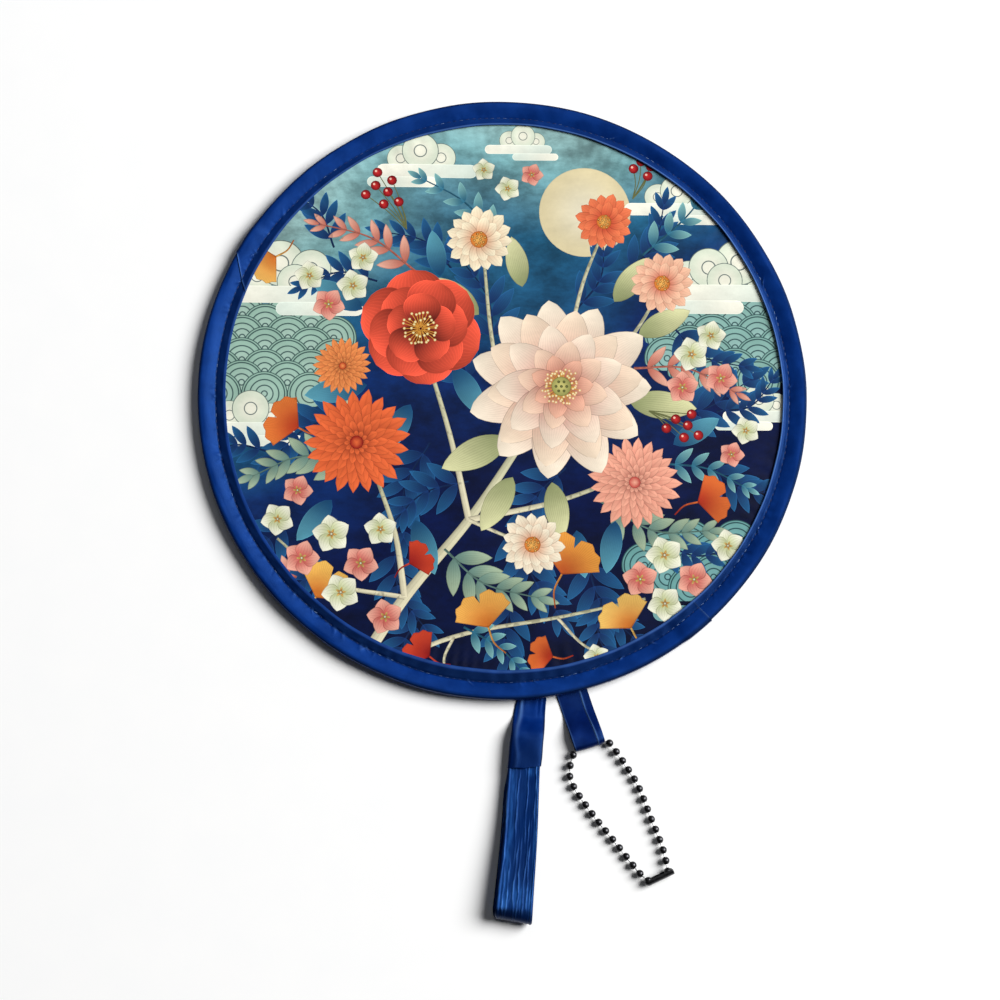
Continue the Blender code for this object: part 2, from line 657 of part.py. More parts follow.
def make_chain(tab_frame, tab_hinge):
    """Beads in rows: each row of one left and one right bead swings on the row above."""
    arch = arch_points()
    end_height = -TAPE_THICKNESS + CONNECTOR_RADIUS + CONNECTOR_WALL / 2
    first_height = arch[0].z
    left = strand_points(arch[0], LEFT_STRAND_SHARES, 1, LEFT_BEADS, first_height, end_height)
    right = strand_points(arch[-1], RIGHT_STRAND_SHARES, -1, RIGHT_BEADS, first_height, end_height)
    centres = [tab_frame @ point for point in left[::-1] + arch + right]
    apex = len(left) + len(arch) // 2
    first_left = len(left) - 1
    first_right = len(left) + len(arch) - 1
    parents = {index: tab_hinge for index in range(first_left, first_right + 1)}
    hinge = tab_hinge
    for row in range(1, max(LEFT_BEADS, RIGHT_BEADS + 1)):
        above_left = centres[max(first_left - row + 1, 1)]
        above_right = centres[min(first_right + row, len(centres)) - 1]
        hinge_frame = row_frame(above_left, above_right)
        hinge = new_empty(f"chain_row_{row:02d}_hinge", hinge_frame, hinge)
        parents[first_left - row] = hinge
        parents[first_right + row] = hinge
    swivel_turn = hinge_frame.to_3x3().to_4x4()
    swivel = new_empty("connector_hinge", Matrix.Translation(centres[1]) @ swivel_turn, hinge)
    parents[0] = swivel
    for index in range(len(centres)):
        add_bead(f"chain_bead_{index + 1:02d}", centres, index, apex, parents[index])
    inside = tab_frame.translation - centres[0]
    make_connector(centres[0], centres[-1], inside, swivel)


for old_object in list(bpy.data.objects):
    bpy.data.objects.remove(old_object)

hinge_frames = {}
parts = new_collection("round_folding_fan")
cutters = new_collection("cutters")

steel = new_material("spring_steel", (0.45, 0.46, 0.48), 0.35, 1.0)
printed_cloth = new_material("printed_cloth", (0.10, 0.20, 0.30), 0.55, 0.0)
satin = new_material("navy_satin", (0.012, 0.045, 0.165), 0.38, 0.0)
elastic = new_material("ribbed_elastic", (0.010, 0.040, 0.155), 0.42, 0.0)
gunmetal = new_material("gunmetal", (0.06, 0.06, 0.065), 0.28, 1.0)

make_hoop()
make_cloth()
make_binding()

strap_frame, strap_reach = rim_frame(STRAP_RIM_ANGLE, STRAP_HEADING, SLEEVE_WIDTH)
add_part("strap_root", root_mesh(strap_reach, SLEEVE_WIDTH), satin, strap_frame)
strap_hinge = new_empty("strap_hinge", strap_frame)
tail_middle = make_sleeve(strap_frame, strap_hinge)
make_hand_loop(strap_frame, strap_hinge, tail_middle)

tab_frame, tab_reach = rim_frame(TAB_RIM_ANGLE, TAB_HEADING, TAB_WIDTH)
add_part("tab_root", root_mesh(tab_reach, TAB_WIDTH), satin, tab_frame)
tab_hinge = new_empty("tab_hinge", tab_frame)
make_tab(tab_frame, tab_hinge)
make_chain(tab_frame, tab_hinge)
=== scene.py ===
import json
import math
import random

import bmesh
import bpy
import numpy as np
from mathutils import Matrix, Vector
from mathutils.geometry import delaunay_2d_cdt


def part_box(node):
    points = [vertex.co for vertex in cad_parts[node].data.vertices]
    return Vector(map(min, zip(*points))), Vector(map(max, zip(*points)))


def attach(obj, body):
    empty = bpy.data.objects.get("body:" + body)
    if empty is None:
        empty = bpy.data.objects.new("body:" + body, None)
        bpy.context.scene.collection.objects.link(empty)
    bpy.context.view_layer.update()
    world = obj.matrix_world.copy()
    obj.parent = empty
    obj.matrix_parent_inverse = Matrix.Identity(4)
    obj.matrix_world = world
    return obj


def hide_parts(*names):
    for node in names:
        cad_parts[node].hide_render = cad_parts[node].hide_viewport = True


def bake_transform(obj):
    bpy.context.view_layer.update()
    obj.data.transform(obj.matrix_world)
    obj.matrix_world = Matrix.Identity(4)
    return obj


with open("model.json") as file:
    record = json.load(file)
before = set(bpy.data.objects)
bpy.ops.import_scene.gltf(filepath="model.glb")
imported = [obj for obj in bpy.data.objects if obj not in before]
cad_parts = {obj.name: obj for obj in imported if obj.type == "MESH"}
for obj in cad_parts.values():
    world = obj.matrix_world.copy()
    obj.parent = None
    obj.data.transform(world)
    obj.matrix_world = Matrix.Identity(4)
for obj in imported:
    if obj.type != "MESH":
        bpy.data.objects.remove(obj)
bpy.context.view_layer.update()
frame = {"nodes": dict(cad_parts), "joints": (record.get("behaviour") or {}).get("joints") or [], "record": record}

# Spring hoop
# A flat band of hardened spring steel, rolled on edge into a ring, with a thin splice plate over
# its butted ends. The binding hides it, so it keeps the dull rolled skin it left the mill with.


def colour(red, green, blue):
    """A colour as a printer names it, from 0 to 255, turned into amounts of light."""
    share = np.array((red, green, blue), float) / 255
    return tuple(np.where(share <= 0.04045, share / 12.92, ((share + 0.055) / 1.055) ** 2.4))


class Signal:
    """One value, vector or colour inside a finish, so that its maths reads as plain sums."""

    def __init__(self, finish, socket):
        self.finish = finish
        self.socket = socket

    def __add__(self, other):
        return self.finish.maths("ADD", self, other)

    def __sub__(self, other):
        return self.finish.maths("SUBTRACT", self, other)

    def __rsub__(self, other):
        return self.finish.maths("SUBTRACT", other, self)

    def __mul__(self, other):
        return self.finish.maths("MULTIPLY", self, other)

    def __truediv__(self, other):
        return self.finish.maths("DIVIDE", self, other)

    def __abs__(self):
        return self.finish.maths("ABSOLUTE", self)

    __radd__ = __add__
    __rmul__ = __mul__

    def sine(self):
        return self.finish.maths("SINE", self)

    def fraction(self):
        return self.finish.maths("FRACT", self)

    def at_least(self, other):
        return self.finish.maths("MAXIMUM", self, other)

    def output(self, index):
        """Another output of the node that this value comes from."""
        return Signal(self.finish, self.socket.node.outputs[index])

    def rise(self, low, high):
        """Smooth step from 0 at the low value to 1 at the high one."""
        values = {"Value": self, "From Min": low, "From Max": high}
        return self.finish.node("MapRange", {"interpolation_type": "SMOOTHSTEP"}, values)


class Finish:
    """A finish of the fan, built up on one principled shader."""

    def __init__(self, name, fixed):
        self.material = bpy.data.materials.new(name)
        self.material.use_nodes = True
        self.tree = self.material.node_tree
        self.shader = self.tree.nodes["Principled BSDF"]
        self.show(fixed)

    def feed(self, socket, value):
        if isinstance(value, Signal):
            self.tree.links.new(value.socket, socket)
        elif socket.type == "RGBA":
            socket.default_value = (*value[:3], 1.0)
        else:
            socket.default_value = value

    def show(self, values):
        for name, value in values.items():
            self.feed(self.shader.inputs[name], value)

    def node(self, kind, settings=None, values=None, output=0):
        """Add a node, its settings first and then its inputs, and give back one of its outputs."""
        made = self.tree.nodes.new("ShaderNode" + kind)
        for name, setting in (settings or {}).items():
            setattr(made, name, setting)
        for name, value in (values or {}).items():
            self.feed(made.inputs[name], value)
        return Signal(self, made.outputs[output])

    def maths(self, operation, *values):
        return self.node("Math", {"operation": operation}, dict(enumerate(values)))

    def scaled(self, shade, amount):
        """A colour made brighter or darker by an amount."""
        return self.node("VectorMath", {"operation": "SCALE"}, {0: shade, "Scale": amount})

    def mix(self, share, first, second, blend="MIX"):
        settings = {"data_type": "RGBA", "blend_type": blend}
        return self.node("Mix", settings, {0: share, 6: first, 7: second}, 2)

    def place(self, stretch=(1.0, 1.0, 1.0)):
        """Where a point lies on the fan, in metres, each axis stretched by its own number."""
        values = {0: self.node("TexCoord", output="Object"), 1: stretch}
        return self.node("VectorMath", {"operation": "MULTIPLY"}, values)

    def carried(self, name, output="Fac"):
        """A value that the piece's own mesh carries."""
        return self.node("Attribute", {"attribute_name": name}, output=output)

    def mottle(self, size, detail=2.0, roughness=0.5, where=None):
        """Soft random patches of about the given size, from 0 to 1."""
        return self.node("TexNoise", None, {
            "Vector": where or self.place(), "Scale": 1 / size, "Detail": detail, "Roughness": roughness,
        })

    def emboss(self, height, depth):
        bump = self.node("Bump", None, {"Height": height, "Distance": depth})
        self.show({"Normal": bump})


rolled_steel = Finish("rolled_spring_steel", {"Metallic": 1.0})
mill_lines = rolled_steel.mottle(0.0004, 4.0, 0.6, rolled_steel.place((0.12, 0.12, 6.0)))
mill_stain = rolled_steel.mottle(0.006, 3.0, 0.55)
steel_blend = mill_lines * 0.6 + mill_stain * 0.4
rolled_steel.show({
    "Base Color": rolled_steel.mix(steel_blend, colour(150, 154, 160), colour(198, 200, 204)),
    "Roughness": 0.30 + 0.22 * mill_stain,
})
rolled_steel.emboss(mill_lines, 0.00002)
for node in ("hoop_band", "hoop_splice"):
    frame["nodes"][node].data.materials.clear()
    frame["nodes"][node].data.materials.append(rolled_steel.material)


# Printed cloth
# One layer of thin satin polyester, dye-printed with flowers over a shaded blue ground and cut
# round with a hot knife. The binding holds its hem, and the spring of the hoop keeps it taut.

MILLIMETRE = 0.001
CLOTH_RADIUS = 1000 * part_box("screen_cloth")[1].x
CLOTH_THICKNESS = -1000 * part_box("screen_cloth")[0].z
PRINT_RADIUS = 118.0
HEM_START = 115.5
CLOTH_SIDES = 300
PRINT_GRID = 1.6
GRID_ROW_SHARE = 0.866
LONGEST_EDGE = 4.0
RING_UNIT = 8.0
STALK_HALF_WIDTH = 0.16
STALK_HEAD_RADIUS = 0.62
SEED_TURN = 2.4
FOLIAGE_LENGTH = 34
FOLIAGE_BOW = 5
SATIN_THREAD_PITCH = 0.00034

DEEP_BLUE = (14, 44, 92)
LEAF_BLUE = (30, 86, 132)
TEAL = (40, 100, 126)
SEA = (120, 172, 172)
SAGE = (104, 138, 128)
PALE_SAGE = (168, 188, 158)
OLIVE = (128, 134, 84)
BARK = (226, 218, 186)
BARK_SHADE = (196, 196, 160)
CREAM = (246, 240, 216)
ROSE = (206, 96, 88)
PALE_ROSE = (244, 178, 158)
AMBER = (206, 112, 40)
GOLD = (238, 180, 92)
DUSTY_ROSE = (196, 112, 96)
PALE_DUSTY_ROSE = (238, 178, 156)
RUST = (178, 48, 28)
PALE_RUST = (224, 110, 50)
CLOUD_LIGHT = (246, 244, 226)
CLOUD_SHADE = (218, 230, 216)
MIST_LIGHT = (248, 246, 230)
MIST_SHADE = (222, 234, 222)

print_shapes = []


def linear(ink):
    return np.array(colour(*ink))


def print_shape(outline, ridge, measure, place, root, tip,
                line=0.6, veining=0.0, shade=0.12, rings=0.0, radius=1.0):
    """Print one flat shape over the ones before it.

    The place is its root's x and y in millimetres, its turn and its size. The measure gives, at
    any of its points, the distance from its edge, a count of veins, how far along it the point
    lies and how far to its side. Its ink runs from the root colour to the tip colour, and the
    line is the brightness of its outline and veins. Some shapes have rings drawn in them too.
    """
    x, y, turn, size = place
    cosine, sine = math.cos(math.radians(turn)), math.sin(math.radians(turn))
    spin = np.array(((cosine, sine), (-sine, cosine))) * size
    outline = np.array(outline) @ spin + (x, y)
    dense = []
    for corner, following in zip(outline, np.roll(outline, -1, axis=0)):
        parts = math.ceil(math.dist(corner, following) / LONGEST_EDGE)
        dense += [corner + (following - corner) * part / parts for part in range(parts)]
    print_shapes.append({
        "outline": np.array(dense),
        "ridge": np.array(ridge).reshape(-1, 2) @ spin + (x, y),
        "root_place": np.array((x, y)),
        "unspin": np.linalg.inv(spin),
        "size": size,
        "measure": measure,
        "root": linear(root),
        "tip": linear(tip),
        "line": line,
        "veining": veining,
        "shade": shade,
        "rings": rings,
        "radius": radius,
    })


def blade(length, width, fullness, bluntness, steps, veins=0, curl=0.0):
    """Outline, ridge and measure of a petal or leaf that grows along +Y from its root."""

    def half_width(along):
        return width / 2 * np.sin(np.pi * np.clip(along, 0, 1) ** fullness) ** bluntness

    def lean(along):
        return curl * length * along * along

    share = np.linspace(0, 1, steps + 1)[1:-1]
    right = np.stack([lean(share) + half_width(share), share * length], 1)
    left = np.stack([lean(share) - half_width(share), share * length], 1)
    outline = np.concatenate([[[0.0, 0.0]], right, [[lean(1.0), length]], left[::-1]])
    spine = np.linspace(0.12, 0.9, max(2, steps // 2))
    ridge = np.stack([lean(spine), spine * length], 1)

    def measure(points):
        along = np.clip(points[:, 1] / length, 0, 1)
        half = np.maximum(half_width(along), 0.0001)
        side = np.clip((points[:, 0] - lean(along)) / half, -1, 1)
        return (1 - np.abs(side)) * half, side * veins / 2, along, side

    return outline, ridge, measure


def petal(place, form, root, tip, veins=0, curl=0.0, **looks):
    """Petal or leaf. Its form is a length, a width, a fullness, a bluntness and a count of steps."""
    print_shape(*blade(*form, veins, curl), place, root, tip, **looks)


def whorl(x, y, count, form, root, tip, turn=0.0, jitter=0.0, hand=None, **looks):
    """Ring of petals round one centre, each a little longer or shorter than the next."""
    for i in range(count):
        size = 1 + (hand.uniform(-jitter, jitter) if hand else 0)
        petal((x, y, turn + 360 * i / count, size), form, root, tip, **looks)


def spot(x, y, radius, root, tip, sides=14, **looks):
    """Round spot, shaded from its middle outwards."""
    turns = np.arange(sides) * 2 * np.pi / sides
    outline = np.stack([np.cos(turns), np.sin(turns)], 1) * radius
    ridge = [(0.0, 0.0)]
    if radius > 3:
        sixths = np.arange(6) * math.pi / 3
        ridge += [(radius / 2 * math.cos(turn), radius / 2 * math.sin(turn)) for turn in sixths]

    def measure(points):
        out = np.hypot(points[:, 0], points[:, 1])
        return np.maximum(radius - out, 0), out * 0, 1 - out / radius, points[:, 0] / radius

    print_shape(outline, ridge, measure, (x, y, 0, 1), root, tip, **looks)


def brush_route(points, steps):
    """Smooth dense route through a few given points."""
    marks = np.array(points, float)
    marks = np.concatenate([[2 * marks[0] - marks[1]], marks, [2 * marks[-1] - marks[-2]]])
    route = []
    for before, start, end, after in zip(marks, marks[1:], marks[2:], marks[3:]):
        for t in np.arange(steps) / steps:
            bend = 2 * before - 5 * start + 4 * end - after
            twist = 3 * start - before - 3 * end + after
            route.append(start + ((end - before) * t + bend * t * t + twist * t ** 3) / 2)
    return np.array(route + [marks[-2]])


def run_and_side(route):
    """Unit heading at each point of a route, and the same a quarter turn to its left."""
    run = np.gradient(route, axis=0)
    run /= np.linalg.norm(run, axis=1)[:, None]
    return run, np.stack([-run[:, 1], run[:, 0]], 1)


def stem(points, start_width, end_width, root, tip, steps=8, line=0.6, shade=0.3, veining=0.0):
    """Tapered stem brushed through a few points. Gives back its route and headings."""
    route = brush_route(points, steps)
    run, side = run_and_side(route)
    half = np.linspace(start_width, end_width, len(route))[:, None] / 2
    outline = np.concatenate([route - side * half, (route + side * half)[::-1]])

    def measure(points):
        starts, steps_on = route[:-1], np.diff(route, axis=0)
        reach = points[:, None] - starts[None]
        share = np.clip((reach * steps_on).sum(2) / (steps_on ** 2).sum(1), 0, 1)
        off = reach - share[..., None] * steps_on
        near = np.abs(off).sum(2).argmin(1)
        row = np.arange(len(points))
        out = (off[row, near] * side[near]).sum(1)
        along = (near + share[row, near]) / len(steps_on)
        width = np.interp(along, (0, 1), (start_width / 2, end_width / 2))
        return np.maximum(width - np.abs(out), 0), out / width * 1.5, along, np.clip(out / width, -1, 1)

    print_shape(outline, route[1:-1:2], measure, (0, 0, 0, 1), root, tip, line, veining, shade)
    headings = np.degrees(np.arctan2(run[:, 1], run[:, 0])) - 90
    return route, headings


def spray(points, leaf, pairs, stalk, root, tip, spread=48, taper=0.45, **looks):
    """Stem with leaves set in pairs along it and one at its tip."""
    route, headings = stem(points, stalk, stalk / 2, root, root)
    for k in range(pairs):
        share = 0.15 + 0.82 * k / max(pairs - 1, 1)
        mark = int(share * (len(route) - 1))
        for side in (1, -1):
            heading = headings[mark] + side * spread * (1 - 0.35 * share)
            petal((*route[mark], heading, 1 - taper * share), leaf, root, tip, veins=6, **looks)
    petal((*route[-1], headings[-1], 1 - taper), leaf, root, tip, veins=6, **looks)


def even(rim):
    """Measure of a plain shape: one distance from its edge all over, no veins and no shading."""

    def measure(points):
        flat = np.zeros(len(points))
        return flat + rim, flat, flat, flat

    return measure


def stamens(x, y, count, inner, outer, stalk_ink, head_ink, hand):
    """Ring of straight stalks of unlike length, each with a round head."""
    for i in range(count):
        turn = 2 * math.pi * (i + hand.uniform(-0.3, 0.3)) / count
        reach = outer * hand.uniform(0.75, 1.05)
        out = np.array((math.cos(turn), math.sin(turn)))
        side = np.array((-out[1], out[0])) * STALK_HALF_WIDTH
        start, end = out * inner + (x, y), out * reach + (x, y)
        outline = [start - side, end - side, end + side, start + side]
        print_shape(outline, (start + end) / 2, even(1), (0, 0, 0, 1), stalk_ink, stalk_ink)
        spot(*end, STALK_HEAD_RADIUS, head_ink, CREAM, sides=6, line=0.8)


def lotus(x, y, size, turn, hand):
    """Open lotus, five rings of veined petals round a green seed head."""
    rings = (
        (11, 1.0, 0.472, 1.05, 16, 0, (214, 138, 118), (250, 236, 214)),
        (10, 0.86, 0.430, 1.0, 14, 17, (206, 120, 104), (248, 226, 200)),
        (9, 0.69, 0.375, 1.0, 12, 3, (196, 96, 84), (250, 232, 210)),
        (8, 0.51, 0.305, 1.0, 10, 25, (178, 64, 58), (246, 214, 188)),
        (7, 0.35, 0.222, 1.0, 8, 8, (150, 36, 36), (240, 184, 158)),
    )
    for count, reach, width, fullness, veins, offset, root, tip in rings:
        form = (size * reach, size * width, fullness, 0.61, veins)
        whorl(x, y, count, form, root, tip, turn + offset, 0.06, hand,
              veins=veins, veining=0.22, line=0.58)
    stamens(x, y, 34, size * 0.07, size * 0.205, (196, 140, 60), GOLD, hand)
    stamens(x, y, 24, size * 0.07, size * 0.155, (206, 150, 66), (236, 196, 100), hand)
    spot(x, y, size * 0.108, (150, 150, 84), (206, 198, 120), sides=16, line=0.55)
    for k in range(7):
        reach = size * 0.058 * (k < 6)
        spot(x + reach * math.cos(k * math.pi / 3), y + reach * math.sin(k * math.pi / 3), size * 0.017,
             (84, 88, 44), (120, 122, 66), sides=6)


def dahlia(x, y, size, rows, turn, root, tip, hand):
    """Ball of narrow pointed petals, each ring darker at its root than the one outside it."""
    for k in range(rows):
        share = 1 - k / (rows + 0.25)
        count = max(7, round(21 * (0.45 + 0.55 * share)))
        form = (size * share, 5.65 * size * share / count, 1.25, 0.62, 7)
        depth = 1 - 0.35 * k / max(rows - 1, 1)
        ring_root = tuple(depth * part for part in root)
        ring_turn = turn + 180 * k / count + 7 * k
        whorl(x, y, count, form, ring_root, tip, ring_turn, 0.04, hand, veins=2, veining=0.35)
    spot(x, y, size * 0.13, root, tip, sides=9)


def camellia(x, y, size, turn, root, tip, hand):
    """Three rings of broad round petals with pale edges."""
    for k, (count, reach, width) in enumerate(((6, 1.0, 0.98), (6, 0.82, 0.8), (5, 0.6, 0.62))):
        form = (size * reach, size * width, 1.35, 0.48, 18)
        ring_root = tuple((1 - 0.18 * k) * part for part in root)
        whorl(x, y, count, form, ring_root, tip, turn + 29 * k, 0.05, hand,
              veins=14, veining=0.3, line=1.5, shade=0.42)
    stamens(x, y, 26, size * 0.05, size * 0.3, (214, 150, 60), (240, 200, 96), hand)
    stamens(x, y, 12, size * 0.02, size * 0.17, (214, 150, 60), (246, 214, 120), hand)


def spiral(x, y, count, spread, start):
    """Places spread from a middle outwards, as seeds lie in a flower head."""
    places = []
    for k in range(count):
        reach = spread * math.sqrt((k + start) / count)
        places.append((x + reach * math.cos(SEED_TURN * k), y + reach * math.sin(SEED_TURN * k)))
    return places


def daisy(x, y, size, turn, root, tip, hand):
    """Two rings of blunt petals round a gold eye with a spiral of seeds."""
    for count, reach, width, steps, offset in ((15, 1.0, 0.42, 8, 0), (12, 0.72, 0.36, 7, 10)):
        form = (size * reach, size * width, 1.3, 0.55, steps)
        whorl(x, y, count, form, root, tip, turn + offset, 0.06, hand, veins=4, veining=0.3, line=0.66)
    spot(x, y, size * 0.26, AMBER, GOLD, sides=12)
    for place in spiral(x, y, 12, size * 0.23, 0.5):
        spot(*place, size * 0.035 + 0.18, (150, 78, 26), (246, 200, 110), sides=5)


def bellflower(x, y, size, turn, root, tip):
    """Small five-lobed star flower."""
    whorl(x, y, 5, (size, size * 0.98, 0.82, 0.82, 8), root, tip, turn, veins=6, veining=0.35)
    whorl(x, y, 5, (size * 0.3, size * 0.13, 0.9, 0.8, 4), AMBER, (250, 224, 130), turn + 36)
    spot(x, y, size * 0.09, OLIVE, CREAM, sides=6)


def ginkgo_leaf(x, y, size, turn, root, tip):
    """Fan-shaped leaf with a notch, its veins spread from the stalk."""
    spread = math.radians(62)

    def reach(angle):
        notch = 0.34 * np.exp(-(angle / 0.07) ** 2)
        edge_wave = 0.035 * np.cos(angle * 17)
        return size * (1 - notch + edge_wave) * (1 - 0.12 * (angle / spread) ** 4)

    def fan(angles, radii):
        return np.stack([np.sin(angles) * radii, np.cos(angles) * radii], 1)

    def measure(points):
        angle = np.arctan2(points[:, 0], np.maximum(points[:, 1], 0.000001))
        out = np.hypot(points[:, 0], points[:, 1])
        rim = np.minimum(reach(angle) - out, (spread - np.abs(angle)) * out)
        return np.maximum(rim, 0), angle * 16, np.clip(out / size, 0, 1), angle

    stalk = [(x, y)]
    for heading, share in ((math.radians(turn), 0.45), (math.radians(turn + 14), 0.85)):
        stalk.append((x + math.sin(heading) * size * share, y - math.cos(heading) * size * share))
    stem(stalk, 0.8, 0.55, tip, root, steps=4)
    angles = np.linspace(spread, -spread, 25)
    outline = np.concatenate([[[0.0, -0.3]], fan(angles, reach(angles))])
    ridge = fan(np.linspace(-spread, spread, 11)[1:-1], size * 0.55)
    print_shape(outline, ridge, measure, (x, y, turn, 1), root, tip, line=0.62, veining=0.45, shade=0.1)


def ringed_disc(x, y, radius, rings, root, tip, outline):
    """Disc, or part of one, that the finish draws rings on."""
    print_shape(outline, (0, 0), even(3), (x, y, 0, 1), root, tip, rings=rings, radius=radius)


def wave_scales(x, y, half_width, half_height, radius, root, tip):
    """Patch of overlapping wave scales, each row laid over the one above it."""
    turns = np.linspace(-0.25, math.pi + 0.25, 20)
    outline = np.stack([np.cos(turns), np.sin(turns)], 1) * radius
    foot = radius * 0.55
    outline = np.concatenate([outline, [[-foot, -foot], [foot, -foot]]])
    row_pitch = radius * 0.5
    for row in range(int(2 * half_height / row_pitch)):
        centre_y = y + half_height - row * row_pitch
        for column in range(-8, 9):
            centre_x = x + (column + row % 2 / 2) * radius * 1.98
            if ((centre_x - x) / half_width) ** 2 + ((centre_y - y) / half_height) ** 2 < 1:
                ringed_disc(centre_x, centre_y, radius, 4.0, root, tip, outline)


def mist_band(x, y, length, height, root, tip):
    """Long soft-ended band of mist."""
    half = height / 2
    turns = np.linspace(-math.pi / 2, math.pi / 2, 9)
    right = np.stack([length / 2 - half + np.cos(turns) * half, np.sin(turns) * half], 1)
    outline = np.concatenate([right, -right])
    ridge = [(along * (length / 2 - half), 0.0) for along in np.linspace(-1, 1, 7)]

    def measure(points):
        out = np.hypot(np.maximum(np.abs(points[:, 0]) - length / 2 + half, 0), points[:, 1])
        return np.maximum(half - out, 0), out * 0, 0.5 + points[:, 0] / length, -points[:, 1] / half

    print_shape(outline, ridge, measure, (x, y, 0, 1), root, tip, line=1.16, shade=0.06)


def cloud(x, y, size, puffs, lean=1):
    """Heap of round puffs that rests on two bands of mist."""
    turns = np.arange(26) * 2 * np.pi / 26
    ring = np.stack([np.cos(turns), np.sin(turns)], 1)
    for across, up, share in puffs:
        puff_x, puff_y, radius = x + lean * across * size, y + up * size, share * size
        ringed_disc(puff_x, puff_y, radius, 1.5, CLOUD_LIGHT, CLOUD_SHADE, ring * radius)
    mist_band(x - lean * 0.10 * size, y - 0.20 * size, 1.75 * size, 0.24 * size, MIST_LIGHT, MIST_SHADE)
    mist_band(x + lean * 0.34 * size, y - 0.40 * size, 1.20 * size, 0.19 * size, MIST_SHADE, MIST_LIGHT)


def berries(x, y, from_x, from_y, count, spread):
    """Loose cluster of berries on thin stalks that leave one point."""
    places = spiral(x, y, count, spread, 0.4)
    for berry_x, berry_y in places:
        middle = ((from_x + berry_x) / 2 + 1, (from_y + berry_y) / 2)
        stem([(from_x, from_y), middle, (berry_x, berry_y)], 0.45, 0.35, OLIVE, OLIVE, steps=4)
    for berry_x, berry_y in places:
        spot(berry_x, berry_y, 2.1, (128, 12, 24), (206, 44, 44), sides=12)
        spot(berry_x - 0.6, berry_y + 0.6, 0.55, (246, 180, 160), (250, 214, 196), sides=6, line=1.0)


hand = random.Random(7)

# Far layer: a pale sun, scaled water and heaped clouds
spot(34, 78, 19, (224, 210, 168), (240, 232, 204), sides=48, line=0.86, shade=0.0)
wave_scales(-98, 16, 36, 22, 9.5, (170, 200, 186), (112, 158, 156))
wave_scales(96, 20, 34, 20, 9.5, (150, 190, 184), (92, 140, 148))
wave_scales(86, -72, 30, 16, 9.5, (120, 172, 172), (72, 128, 140))
mist_band(84, -90, 46, 6.5, (118, 168, 168), (84, 138, 148))
broad_heap = (
    (-0.52, 0.06, 0.25), (0.50, 0.04, 0.22), (-0.20, 0.24, 0.33), (0.22, 0.16, 0.28), (0.0, -0.02, 0.25),
)
small_heap = ((0.36, 0.02, 0.24), (-0.34, 0.04, 0.26), (0.02, 0.16, 0.32))
cloud(-86, 48, 30, broad_heap)
cloud(92, 50, 30, broad_heap, -1)
cloud(-34, 100, 24, small_heap, -1)
cloud(72, 84, 22, small_heap)
cloud(-104, -10, 24, small_heap)
cloud(8, 108, 16, small_heap)
cloud(106, -4, 20, small_heap, -1)

# Dark foliage that fills the ground behind the flowers
for x, y, turn, size in (
    (-60, -8, 120, 1.2), (-20, 52, 60, 1.0), (8, -50, 200, 1.3), (60, -8, -70, 1.3),
    (50, 52, -30, 1.0), (-70, 62, 40, 0.9), (-86, -52, 150, 1.1), (4, -84, 185, 1.1),
    (84, -28, -110, 1.0), (-34, -92, 170, 0.9), (-4, 20, 20, 1.2), (34, -66, -150, 1.2),
    (-52, 48, 95, 0.9), (-30, -20, 165, 1.2), (-14, -36, 120, 1.1), (30, 36, -20, 1.0),
    (70, 30, -120, 1.0), (-44, -62, 200, 1.1), (26, -30, 150, 1.1), (64, -60, -95, 0.9),
    (-96, -24, 100, 0.8), (40, -84, -165, 0.9), (-10, 4, 60, 1.2), (88, -6, -60, 0.8),
    (-66, -74, 120, 0.9),
):
    cosine, sine = math.cos(math.radians(turn)), math.sin(math.radians(turn))
    out = np.array((-sine, cosine)) * FOLIAGE_LENGTH * size
    side = np.array((cosine, sine)) * FOLIAGE_BOW
    root_place = np.array((x, y))
    leaf = (15 * size, 5.2 * size, 0.9, 0.8, 8)
    spray([root_place, root_place + out / 2 + side, root_place + out], leaf, 6, 0.9,
          DEEP_BLUE, LEAF_BLUE, line=1.5, veining=0.25)

# One pale branch that forks to every large flower
for points, start_width, end_width in (
    (((-62, -118), (-40, -84), (-14, -52), (6, -22), (24, 6)), 5.2, 2.2),
    (((-40, -84), (-44, -58), (-52, -34)), 2.8, 1.5),
    (((-14, -52), (-22, -16), (-34, 24)), 2.8, 1.4),
    (((-14, -52), (22, -44), (54, -32)), 2.6, 1.3),
    (((6, -22), (-4, 20), (-8, 58)), 2.2, 1.2),
    (((24, 6), (50, 22), (66, 46)), 2.0, 1.1),
    (((24, 6), (32, 44), (40, 66)), 2.0, 1.1),
    (((-40, -84), (-70, -78), (-92, -60)), 2.0, 1.0),
    (((-62, -118), (-20, -100), (22, -92), (58, -84)), 2.2, 1.0),
    (((-14, -52), (0, -58), (12, -62)), 1.6, 1.0),
    (((-52, -34), (-62, -12), (-66, 8)), 1.6, 1.0),
    (((22, -92), (34, -104), (52, -110)), 1.3, 0.7),
    (((-20, -100), (-24, -110), (-20, -120)), 1.3, 0.8),
):
    stem(points, start_width, end_width, BARK, BARK_SHADE, veining=0.3)

